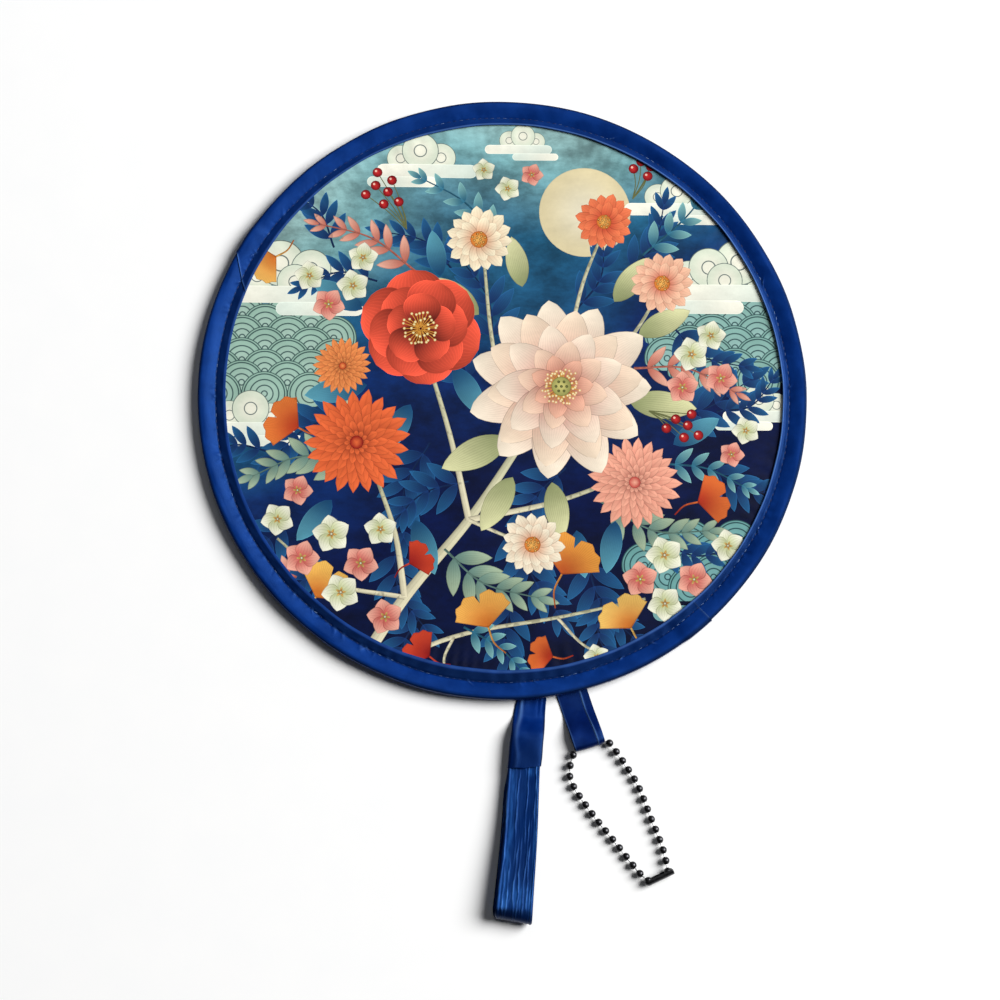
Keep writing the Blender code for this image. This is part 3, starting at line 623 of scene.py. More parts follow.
# Middle layer: sage, rose and teal sprays, then broad single leaves
for points, length, width, pairs, root, tip, line in (
    (((-24, -64), (-8, -78), (14, -84)), 17, 6.4, 6, SAGE, PALE_SAGE, 0.6),
    (((40, -44), (62, -56), (84, -56)), 15, 5.8, 6, SAGE, PALE_SAGE, 0.6),
    (((-60, -30), (-82, -26), (-102, -34)), 15, 5.8, 6, SAGE, PALE_SAGE, 0.6),
    (((54, 12), (76, 12), (96, 2)), 13, 4.4, 6, DUSTY_ROSE, PALE_DUSTY_ROSE, 0.6),
    (((-36, 52), (-54, 66), (-76, 72)), 13, 4.4, 6, DUSTY_ROSE, PALE_DUSTY_ROSE, 0.6),
    (((-2, 66), (-16, 82), (-34, 92)), 12, 4.6, 5, TEAL, SEA, 1.3),
    (((58, 60), (74, 74), (84, 86)), 12, 4.6, 5, TEAL, SEA, 1.3),
    (((-16, -96), (-2, -104), (8, -114)), 10, 3.8, 5, TEAL, SEA, 1.3),
    (((66, -28), (84, -30), (100, -38)), 11, 4.0, 5, TEAL, SEA, 1.3),
    (((-84, -76), (-96, -70), (-106, -58)), 9, 3.6, 4, DUSTY_ROSE, PALE_DUSTY_ROSE, 0.6),
):
    spray(points, (length, width, 0.9, 0.8, 8), pairs, 1.0, root, tip, line=line, veining=0.3)


def broad_leaf(x, y, turn, length, width_share, root, tip, **looks):
    """Single leaf, veined from its root to its tip."""
    petal((x, y, turn, 1), (length, length * width_share, 0.9, 0.72, 12), root, tip, veins=12, **looks)


for place in (
    (2, -18, 115, 30), (4, -34, 150, 26), (52, -2, -96, 28), (46, 40, -38, 24), (-10, 34, 50, 24),
    (56, 26, -64, 24), (8, 46, 12, 22), (20, -36, -170, 24),
):
    broad_leaf(*place, 0.42, (150, 158, 110), (222, 222, 170), veining=0.4)
for place in (
    (-56, 4, 100, 26), (-20, 12, -150, 24), (-58, 36, 60, 24), (-26, 50, 10, 20), (-70, -44, 140, 22),
    (-36, -52, -160, 24), (70, -20, -60, 22), (46, -52, 170, 22), (-38, -4, 150, 24), (30, -56, -170, 20),
):
    broad_leaf(*place, 0.4, (20, 70, 110), (84, 150, 170), veining=0.35, line=1.35)

# Fallen ginkgo leaves, small star flowers and berries
for x, y, size, turn, root, tip in (
    (-6, -96, 15, 20, AMBER, (240, 176, 84)), (24, -74, 17, -25, (190, 84, 34), (236, 158, 66)),
    (52, -96, 14, 30, AMBER, (236, 190, 100)), (-84, -14, 14, 65, (186, 60, 30), (226, 120, 54)),
    (-76, -84, 15, -35, AMBER, (240, 186, 90)), (80, -44, 13, -75, RUST, PALE_RUST),
    (-30, -108, 11, 55, (150, 26, 24), (206, 66, 40)), (-94, 58, 12, 120, AMBER, GOLD),
    (-38, -70, 10, -60, (150, 26, 24), (206, 66, 40)), (20, -108, 10, 80, RUST, PALE_RUST),
):
    ginkgo_leaf(x, y, size, turn, root, tip)
white_star = ((196, 204, 150), (246, 246, 226))
rose_star = (ROSE, PALE_ROSE)
for x, y, size, turn, inks in (
    (-70, -58, 8, 10, white_star), (-58, -70, 7.5, 40, rose_star), (-82, -68, 7.5, 55, rose_star),
    (-66, -82, 8, 25, white_star), (-50, -56, 7, 5, white_star), (-92, -52, 7, 30, white_star),
    (-48, -92, 7.5, 12, rose_star), (-84, -40, 6.5, 50, rose_star), (66, -66, 8, 20, white_star),
    (78, -76, 7.5, 48, rose_star), (56, -76, 7.5, 5, rose_star), (66, -86, 7.5, 33, white_star),
    (92, -62, 7, 12, white_star), (78, 18, 7.5, 15, white_star), (90, 8, 7, 44, rose_star),
    (74, 4, 7, 0, rose_star), (86, 26, 6.5, 60, white_star), (-62, 46, 7, 12, white_star),
    (-72, 38, 7, 40, rose_star), (-58, 58, 6.5, 66, white_star), (-80, 50, 6.5, 8, white_star),
    (2, 88, 5.5, 20, white_star), (12, 94, 5, 50, rose_star), (-8, 96, 5, 5, white_star),
    (100, -14, 6, 20, white_star), (94, -24, 5.5, 50, rose_star), (38, -108, 5.5, 15, white_star),
):
    bellflower(x, y, size, turn, *inks)
berries(-50, 86, -40, 70, 7, 9)
berries(74, -12, 60, -6, 6, 8)
berries(60, 98, 54, 84, 5, 6)

# The large flowers, the palest and largest last
dahlia(-60, -20, 22, 5, 5, (150, 22, 22), (240, 110, 60), hand)
dahlia(54, -36, 19, 5, 12, (196, 70, 64), (248, 176, 150), hand)
dahlia(-66, 12, 12, 4, 3, (190, 60, 30), (246, 150, 84), hand)
daisy(-10, 66, 14, 4, (222, 150, 110), (250, 238, 206), hand)
daisy(66, 48, 13, 9, (206, 92, 70), (250, 200, 168), hand)
daisy(12, -62, 13, 2, (222, 150, 110), (250, 240, 214), hand)
daisy(42, 74, 12, 6, (198, 60, 40), (244, 128, 84), hand)
camellia(-34, 28, 25, 10, (96, 4, 20), (226, 84, 60), hand)
lotus(24, 4, 38, 8, hand)


def inside(polygon, points):
    """Which of the points lie inside a polygon."""
    hit = np.zeros(len(points), bool)
    for (x, y), (next_x, next_y) in zip(polygon, np.roll(polygon, -1, axis=0)):
        if y == next_y:
            continue
        crosses = (y > points[:, 1]) != (next_y > points[:, 1])
        hit ^= crosses & (points[:, 0] < (next_x - x) * (points[:, 1] - y) / (next_y - y) + x)
    return hit


def within_reach(polygon, points):
    """Indices of the points in a polygon's bounding box."""
    return np.nonzero(((points > polygon.min(0)) & (points < polygon.max(0))).all(1))[0]


def ground_ink(points):
    """Ground of the print: pale mint at the upper left, blue across the middle and navy below."""
    x, y = points[:, 0], points[:, 1]
    drift = (y * 0.92 - x * 0.38) / CLOTH_RADIUS + 0.10 * np.sin(x / 23) + 0.07 * np.sin(y / 17 + x / 31)
    stops = {
        -1.2: (0, 8, 36), -0.35: (2, 20, 72), 0.1: (8, 46, 108),
        0.45: (36, 104, 142), 0.72: (132, 188, 194), 1.1: (186, 220, 214),
    }
    inks = np.array([linear(ink) for ink in stops.values()])
    return np.stack([np.interp(drift, list(stops), inks[:, part]) for part in range(3)], 1)


def divide_print():
    """Divide the disc of cloth into triangles along every outline that shows."""
    shapes = [shape for shape in print_shapes if np.hypot(*shape["outline"].T).min() < HEM_START]
    corners = np.concatenate([shape["outline"] for shape in shapes])
    after = np.concatenate([np.roll(shape["outline"], -1, axis=0) for shape in shapes])
    ridges = np.concatenate([shape["ridge"] for shape in shapes])
    corner_owner = np.repeat(np.arange(len(shapes)), [len(shape["outline"]) for shape in shapes])
    ridge_owner = np.repeat(np.arange(len(shapes)), [len(shape["ridge"]) for shape in shapes])
    probes = (corners, (corners + after) / 2, ridges)
    owners = (corner_owner, corner_owner, ridge_owner)
    hidden = [np.hypot(*probe.T) > PRINT_RADIUS for probe in probes]
    for k, shape in enumerate(shapes):
        for probe, gone, owner in zip(probes, hidden, owners):
            near = within_reach(shape["outline"], probe)
            near = near[(owner[near] < k) & ~gone[near]]
            gone[near[inside(shape["outline"], probe[near])]] = True
    turns = np.arange(CLOTH_SIDES) * 2 * np.pi / CLOTH_SIDES
    points = list(zip(CLOTH_RADIUS * np.cos(turns), CLOTH_RADIUS * np.sin(turns)))
    edges = [(i, (i + 1) % CLOTH_SIDES) for i in range(CLOTH_SIDES)]
    start = 0
    for shape in shapes:
        count = len(shape["outline"])
        gone, middle_gone = hidden[0][start:start + count], hidden[1][start:start + count]
        drawn = ~(gone & np.roll(gone, -1) & middle_gone)
        index = {}
        for i in np.nonzero(drawn | np.roll(drawn, 1))[0]:
            index[i] = len(points)
            points.append(tuple(shape["outline"][i]))
        edges += [(index[i], index[(i + 1) % count]) for i in np.nonzero(drawn)[0]]
        start += count
    points += [tuple(point) for point in ridges[~hidden[2]]]
    reach = int(CLOTH_RADIUS / PRINT_GRID * 1.2)
    for row in range(-reach, reach + 1):
        for column in range(-reach, reach + 1):
            x, y = (column + row % 2 / 2) * PRINT_GRID, row * PRINT_GRID * GRID_ROW_SHARE
            if math.hypot(x, y) < PRINT_RADIUS:
                points.append((x, y))
    cut = delaunay_2d_cdt([Vector(point) for point in points], edges, [], 0, 0.0001, False)
    places = np.array([tuple(point) for point in cut[0]])
    triangles = np.array(cut[2])
    triangles = triangles[inside(np.array(points[:CLOTH_SIDES]), places[triangles].mean(1))]
    used, triangles = np.unique(triangles, return_inverse=True)
    return places[used], triangles.reshape(-1, 3), shapes


def open_edges(triangles):
    """Edges that only one triangle has, each in its triangle's own direction."""
    edges = np.concatenate([triangles[:, (0, 1)], triangles[:, (1, 2)], triangles[:, (2, 0)]])
    _, first, uses = np.unique(np.sort(edges, axis=1), axis=0, return_index=True, return_counts=True)
    return edges[first[uses == 1]]


def ink_corners(places, triangles, shapes):
    """Ink and line values at each corner of each triangle, from the topmost shape it lies in."""
    corners = places[triangles]
    middles = corners.mean(1)
    topmost = np.full(len(triangles), -1)
    for k, shape in enumerate(shapes):
        near = within_reach(shape["outline"], middles)
        topmost[near[inside(shape["outline"], middles[near])]] = k
    ink = np.ones((len(triangles), 3, 4))
    lines = np.zeros((len(triangles), 3, 4))
    scale = np.zeros((len(triangles), 3, 3))
    ink[..., :3] = ground_ink(corners.reshape(-1, 2)).reshape(-1, 3, 3)
    lines[..., 0] = 9.0
    lines[..., 3] = 1.0
    for k, shape in enumerate(shapes):
        mine = np.nonzero(topmost == k)[0]
        local = (corners[mine].reshape(-1, 2) - shape["root_place"]) @ shape["unspin"]
        rim, vein, along, side = shape["measure"](local)
        share = (along * along * (3 - 2 * along))[:, None]
        flat_ink = shape["root"] * (1 - share) + shape["tip"] * share
        ink[mine, :, :3] = (flat_ink * (1 - shape["shade"] * side[:, None])).reshape(-1, 3, 3)
        lines[mine, :, 0] = np.minimum(rim * shape["size"], 3).reshape(-1, 3)
        lines[mine, :, 1] = vein.reshape(-1, 3)
        lines[mine, :, 2] = shape["veining"]
        lines[mine, :, 3] = shape["line"]
        if shape["rings"]:
            scale[mine, :, :2] = (local / shape["radius"]).reshape(-1, 3, 2)
            scale[mine, :, 2] = shape["rings"] / RING_UNIT
    return ink, lines, scale


def cloth_height(x, y):
    """Slack of the stretched cloth in millimetres: shallow waves, and puckers at the stitches."""
    out = np.hypot(x, y)
    turn = np.arctan2(y, x)
    slack = 0.16 * np.sin(x / 9.5 + 0.8 * np.sin(y / 21)) * np.sin(y / 14 + 1.1)
    slack += 0.20 * np.sin((x * 0.7 + y) / 17 + 1.4 * np.sin(x / 34))
    slack += 0.07 * np.sin((x - y * 0.6) / 5.2 + 2 * np.sin(y / 15)) * np.clip(out / 110, 0, 1) ** 2
    drawn = 0.5 + 0.5 * np.sin(9 * turn + 2.2 * np.sin(4 * turn))
    puckers = 0.13 * np.sin(138 * turn + 3 * np.sin(11 * turn)) * drawn
    depth = np.clip((out - 98) / 16, 0, 1) ** 2
    ease_out = np.clip((HEM_START - 0.9 - out) / 9, 0, 1)
    return slack * ease_out + puckers * depth * np.clip((HEM_START - out) / 2.5, 0, 1)


def make_cloth():
    """Closed thin sheet with the same cut on its face and its back, and its own smooth normals."""
    places, triangles, shapes = divide_print()
    ink, lines, scale = ink_corners(places, triangles, shapes)
    x, y = places.T
    height = cloth_height(x, y)
    step = 0.05
    slope_x = (cloth_height(x + step, y) - cloth_height(x - step, y)) / (2 * step)
    slope_y = (cloth_height(x, y + step) - cloth_height(x, y - step)) / (2 * step)
    normals = np.stack([-slope_x, -slope_y, np.ones(len(x))], 1)
    normals /= np.linalg.norm(normals, axis=1)[:, None]
    face = np.column_stack([places, height])
    back = np.column_stack([places, height - CLOTH_THICKNESS])
    count = len(places)
    start, end = open_edges(triangles).T
    wall = np.concatenate([
        np.column_stack([start, start + count, end + count]),
        np.column_stack([start, end + count, end]),
    ])
    faces = np.concatenate([triangles, triangles[:, ::-1] + count, wall])
    mesh = bpy.data.meshes.new("printed_cloth")
    mesh.from_pydata((np.concatenate([face, back]) * MILLIMETRE).tolist(), [], faces.tolist())
    scale = np.concatenate([scale, np.ones((len(triangles), 3, 1))], 2)
    rest = np.zeros((len(wall) * 3, 4))
    back_ink = ink[:, ::-1].copy()
    back_ink[..., 3] = 0.0
    for name, front, behind in (
        ("print_ink", ink, back_ink),
        ("print_lines", lines, lines[:, ::-1]),
        ("print_scale", scale, scale[:, ::-1]),
    ):
        values = np.concatenate([front.reshape(-1, 4), behind.reshape(-1, 4), rest]).astype(np.float32)
        mesh.attributes.new(name, "FLOAT_COLOR", "CORNER").data.foreach_set("color", values.ravel())
    # The face's print takes the large round of the sheet's map, and the back's the small one
    corner = places[faces % count].reshape(-1, 2) / CLOTH_RADIUS
    on_back = np.repeat(np.arange(len(faces)) >= len(triangles), 3)[:, None]
    spread = np.where(on_back, 0.785 + 0.2 * corner * (-1, 1), 0.355 + 0.345 * corner)
    mesh.uv_layers.new(name="OFBake").data.foreach_set("uv", spread.astype(np.float32).ravel())
    mesh.shade_smooth()
    mesh.normals_split_custom_set_from_vertices(np.concatenate([normals, -normals]).tolist())
    cloth = bpy.data.objects.new("printed_cloth", mesh)
    bpy.context.scene.collection.objects.link(cloth)
    return cloth


dyed_satin = Finish("dye_printed_satin", {"Specular IOR Level": 0.10})
ink = dyed_satin.carried("print_ink", "Color")
face_side = dyed_satin.carried("print_ink", "Alpha")
lines = dyed_satin.node("SeparateColor", None, {0: dyed_satin.carried("print_lines", "Color")})
rim = lines
vein = lines.output(1)
veining = lines.output(2)
line_tone = dyed_satin.carried("print_lines", "Alpha")
outline = 1 - rim.rise(0.12, 0.38)
vein_line = (1 - abs((vein + 0.5).fraction() - 0.5).rise(0.05, 0.24)) * veining
drawn = outline.at_least(vein_line) * (line_tone - 1) + 1
scale_place = dyed_satin.carried("print_scale", "Color")
scale_parts = dyed_satin.node("SeparateColor", None, {0: scale_place})
rings = scale_parts.output(2) * RING_UNIT
ringed = rings.rise(0.4, 0.6)
flat_place = dyed_satin.node("VectorMath", {"operation": "MULTIPLY"}, {0: scale_place, 1: (1.0, 1.0, 0.0)})
scale_out = dyed_satin.node("VectorMath", {"operation": "LENGTH"}, {0: flat_place}, 1)
ring_wave = (scale_out * rings).fraction() - 0.5
ring_line = 1 - (abs(ring_wave) / rings).rise(0.016, 0.040)
ring_line = ring_line.at_least(scale_out.rise(0.94, 0.97)) * ringed
ring_wash = scale_out.rise(0.0, 1.0) * ringed
brush = dyed_satin.mottle(0.011, 6.0, 0.62, dyed_satin.place((0.55, 1.0, 1.0)))
speckle = dyed_satin.mottle(0.0013, 3.0, 0.6)
bare_ground = rim.rise(4.0, 5.0)
blot = dyed_satin.mottle(0.021, 8.0, 0.68, dyed_satin.place((0.8, 1.3, 1.0)))
worked = dyed_satin.mix(ring_wash * 0.5, ink, dyed_satin.mix(1.0, ink, colour(196, 224, 214), "MULTIPLY"))
ring_shade = dyed_satin.mix(1.0, worked, colour(36, 74, 92), "MULTIPLY")
worked = dyed_satin.scaled(dyed_satin.mix(ring_line * 0.86, worked, ring_shade), drawn)
ground_tone = 1 + bare_ground * (blot.rise(0.30, 0.72) * 0.8 - 0.62)
tone = (0.66 + 0.50 * brush) * (0.95 + 0.08 * speckle) * ground_tone
toned = dyed_satin.scaled(worked, tone)
faded = dyed_satin.mix(0.42, toned, colour(150, 170, 186))
threads = dyed_satin.place((2 * math.pi / SATIN_THREAD_PITCH,) * 3)
warp = dyed_satin.node("SeparateXYZ", None, {0: threads})
weft = warp.output(1)
weave = (warp + weft * 0.25).sine() * 0.5 + (weft - warp * 0.25).sine() * 0.5
dyed_satin.show({
    "Base Color": dyed_satin.mix(face_side, faded, toned),
    "Roughness": 0.46 + 0.16 * brush + 0.05 * weave,
})
dyed_satin.emboss(weave * 0.5 + speckle * 0.5, 0.000012)

cloth = make_cloth()
cloth.data.materials.append(dyed_satin.material)
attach(cloth, "fan")
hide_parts("screen_cloth")


# Binding
# Two lengths of soft blue satin tape, folded over the hoop and the cloth's hem and sewn through
# both sides in one pass. Each ends in a lap over the other, one cut on a slant and one square.

RIM_RADIUS = 0.1250
TAPE_EDGE_RADIUS = 0.1148
SEAM_RADIUS = 0.1181
HOOP_INNER_RADIUS = 0.1239
HOOP_OUTER_RADIUS = 0.1244
HOOP_TOP = 0.00135
HOOP_BOTTOM = -0.00165
TAPE_THICKNESS = 0.0003
TAPE_OFFSET = 0.00045
STRIP_HEIGHT = 0.00030
BACK_STRIP_HEIGHT = -0.00060
BACK_FOOT_WIDTH = 0.0010
HEM_WIDTH = 0.0010
HEM_HEIGHT = 0.00042
BACK_HEM_HEIGHT = 0.0002
LAP_LENGTH_ANGLE = math.degrees(0.0110 / RIM_RADIUS)
LAP_RAMP_ANGLE = math.degrees(0.0050 / RIM_RADIUS)
LAP_LIFT = 0.00036
UPPER_LAP_ANGLE = 151.6
UPPER_LAP_SLANT = 6.5
LOWER_LAP_ANGLE = -47.6
COLUMNS_ROUND = 1440
FRONT_ROWS = 42
RIB_PITCH = 0.00030
CREASE_COUNT = 420
FOLD_WIDTH = 0.00036
FOLD_HEIGHT = 0.00046
SLACK_HEIGHT = 0.00006
STRIP_RIPPLE_HEIGHT = 0.00005
OUTER_RIPPLE_HEIGHT = 0.00008
CUT_EDGE_WIDTH = 0.0004
CUT_EDGE_HEIGHT = 0.00014
CURL_WIDTH = 0.0022
CURL_HEIGHT = 0.0006
FINEST_GAP = 0.00002
STITCH_PITCH = 0.0026
STITCH_LENGTH = 0.0015
STITCH_GROOVE = 0.00016
THREAD_RADIUS = 0.00010
THREAD_SIDES = 8


def ease(share):
    """Smooth step from 0 to 1."""
    share = np.clip(share, 0.0, 1.0)
    return share * share * (3 - 2 * share)


def arc(centre, radius, start, end, steps):
    """Points of an arc in a plane, both ends included."""
    turns = np.radians(np.linspace(start, end, steps + 1))
    return np.stack([centre[0] + radius * np.cos(turns), centre[1] + radius * np.sin(turns)], 1)


def tape_section():
    """Middle line of the folded tape.

    Each row gives shares of the inner edge's and of the seam's radius, a fixed radius and a height.
    """
    foot = HOOP_BOTTOM - TAPE_OFFSET
    rows = [(1 - share, share, 0.0, STRIP_HEIGHT) for share in np.linspace(0, 1, 19)[:-1] ** 1.25]
    for share in np.linspace(0, 1, 21)[:-1]:
        rise = (HOOP_TOP + TAPE_OFFSET - STRIP_HEIGHT) * math.sin(math.pi / 2 * share) ** 1.15
        rows.append((0.0, 1 - share, HOOP_INNER_RADIUS * share, STRIP_HEIGHT + rise))
    rows.append((0.0, 0.0, HOOP_INNER_RADIUS, HOOP_TOP + TAPE_OFFSET))
    for height, first, last in ((HOOP_TOP, 90, 0), (HOOP_BOTTOM, 0, -90)):
        bend = arc((HOOP_OUTER_RADIUS, height), TAPE_OFFSET, first, last, 5)
        rows += [(0.0, 0.0, *point) for point in bend]
    for share in np.linspace(0, 1, 6):
        rows.append((0.0, share, (1 - share) * HOOP_INNER_RADIUS + share * BACK_FOOT_WIDTH, foot))
    for share in np.linspace(0, 1, 5)[1:]:
        rows.append((0.0, 1.0, (1 - share) * BACK_FOOT_WIDTH, foot + (BACK_STRIP_HEIGHT - foot) * share))
    rows += [(share, 1 - share, 0.0, BACK_STRIP_HEIGHT) for share in np.linspace(0, 1, 8)[1:]]
    return np.array(rows)


def loft(rings):
    """Skin over a run of closed rings of equal count, each end closed straight across."""
    runs, count = rings.shape[:2]
    index = np.arange(runs * count).reshape(runs, count)
    following = np.roll(index, -1, axis=1)
    quads = np.stack([index[:-1], following[:-1], following[1:], index[1:]], -1).reshape(-1, 4)
    near = np.arange(count // 2 - 1)
    far = count - 1 - near
    ends = (index[0], index[-1][::-1])
    caps = [np.stack([ring[near], ring[far], ring[far - 1], ring[near + 1]], 1) for ring in ends]
    return rings.reshape(-1, 3), np.concatenate([quads, *caps])


def add_piece(name, points, faces, finish, values=None, sharp=50):
    """Piece from points in metres and faces, smooth but for edges over the sharp angle."""
    mesh = bpy.data.meshes.new(name)
    mesh.from_pydata(np.asarray(points).tolist(), [], [list(map(int, face)) for face in faces])
    shell = bmesh.new()
    shell.from_mesh(mesh)
    bmesh.ops.recalc_face_normals(shell, faces=shell.faces)
    shell.to_mesh(mesh)
    shell.free()
    for attribute, numbers in (values or {}).items():
        layer = mesh.attributes.new(attribute, "FLOAT", "POINT")
        layer.data.foreach_set("value", np.asarray(numbers, np.float32).ravel())
    mesh.shade_smooth()
    mesh.set_sharp_from_angle(angle=math.radians(sharp))
    mesh.materials.append(finish.material)
    piece = bpy.data.objects.new(name, mesh)
    bpy.context.scene.collection.objects.link(piece)
    return piece


def pull(angle):
    """How hard the sewing pulls on the tape at an angle round the rim, most at its lower left."""
    return 0.5 + 0.5 * np.cos(np.radians(angle - 248))


def curl(angle):
    """How much the tape's inner edge curls off the cloth, most at the upper right."""
    return 0.5 + 0.5 * np.cos(np.radians(angle - 30))


def below(angle):
    """How near an angle is to the bottom of the rim, where the strap and the tab hang."""
    return np.exp(-(((angle + 92 + 180) % 360 - 180) / 44) ** 2)


def edge_radius(angle):
    """Radius of the tape's inner edge, sewn further in at the left and at the bottom."""
    turn = np.radians(angle)
    left = np.exp(-((angle % 360 - 184) / 36) ** 2)
    ripple = 0.00010 * np.sin(9 * turn + 1) + 0.00006 * np.sin(31 * turn)
    return TAPE_EDGE_RADIUS + 0.0005 * curl(angle) - 0.0013 * below(angle) - 0.0009 * left + ripple


def outer_slack(angle):
    """Slack of the tape outside the hoop, where it hangs loosest at the bottom."""
    return np.maximum(0.00025 - 0.00045 * np.sin(np.radians(angle)), 0.0)


def seam_radius(angle):
    """Radius of the stitched seam, which wanders a little."""
    turn = np.radians(angle)
    bowed = SEAM_RADIUS + 0.0006 * below(angle)
    return bowed + 0.00014 * np.sin(7 * turn + 2) + 0.00008 * np.sin(23 * turn)


def make_creases(hand):
    """Gathers that the sewing and the curve put in the tape, as angle, reach, width, slant and height."""
    creases = []
    for _ in range(CREASE_COUNT):
        angle = hand.uniform(0, 360)
        bunch = (0.25 + 0.75 * pull(angle)) * (0.4 + 0.6 * math.sin(math.radians(angle * 4 + 40)) ** 2)
        height = hand.choice((-1, 1, 1)) * hand.uniform(0.00005, 0.00030) * bunch
        reach, width = hand.uniform(0.0009, 0.0042), hand.uniform(0.0003, 0.0009)
        creases.append((angle, reach, width, hand.uniform(-0.8, 0.8), height))
    for angle, slant, reach in (
        (-97.0, 1.2, 0.0032), (-84.0, 0.8, 0.0016), (-76.5, -2.8, 0.0014), (-71.0, -3.2, 0.0015),
        (-66.0, -1.6, 0.0012), (-59.5, 1.1, 0.0030), (-118.0, 1.4, 0.0020), (-131.0, 0.9, 0.0022),
        (150.0, 1.6, 0.0030), (156.5, 0.9, 0.0020), (68.0, -1.4, 0.0034), (24.0, 1.4, 0.0024),
        (2.0, 0.7, 0.0018), (-28.0, -1.2, 0.0024),
    ):
        creases.append((angle, reach, FOLD_WIDTH, slant, FOLD_HEIGHT))
    return creases


tape_creases = make_creases(random.Random(11))


def gathered(angle, from_seam, front):
    """Height of the tape's gathers alone."""
    rise = 0.0 * angle
    for crease_angle, reach, width, slant, height in tape_creases:
        if not front:
            crease_angle, slant = crease_angle + 1.3, -slant
        off = (angle - crease_angle + 180) % 360 - 180
        across = np.radians(off) * SEAM_RADIUS - slant * from_seam
        fade = ease((from_seam + 0.0007) / 0.0009) * (1 - ease(from_seam / reach))
        rise = rise + height * np.exp(-(across / width) ** 2) * fade
    return rise


def tape_swell(angle, from_seam, gathers):
    """How far the tape stands off its middle line: stitched groove, gathers and slack."""
    turn = np.radians(angle)
    groove = -STITCH_GROOVE * np.exp(-(from_seam / 0.00040) ** 2) * (0.25 + 0.75 * pull(angle))
    slack = np.sin(19 * turn + 1.7 * np.sin(7 * turn))
    slack = slack + 0.6 * np.sin(33 * turn + 2.3 * np.sin(5 * turn) + 700 * from_seam)
    swell = groove + gathers + SLACK_HEIGHT * slack * ease(from_seam / 0.003)
    along = turn * SEAM_RADIUS
    strip = np.sin(2 * np.pi * along / 0.0071 + 2 * np.sin(along / 0.009))
    strip = strip + 0.6 * np.sin(along / 0.0017 + 1500 * from_seam)
    strip = STRIP_RIPPLE_HEIGHT * strip * ease(-from_seam / 0.0008) * (0.3 + 0.7 * pull(angle))
    return swell + strip


def spacing(route):
    """Distance along a route at each of its points."""
    return np.concatenate([[0], np.cumsum(np.linalg.norm(np.diff(route, axis=0), axis=1))])


def hem_roll(height, from_edge):
    """Rolled hem at a distance from the edge of the tape."""
    return height * np.sqrt(np.clip(1 - ((from_edge - HEM_WIDTH / 2) / (HEM_WIDTH / 2)) ** 2, 0, 1))


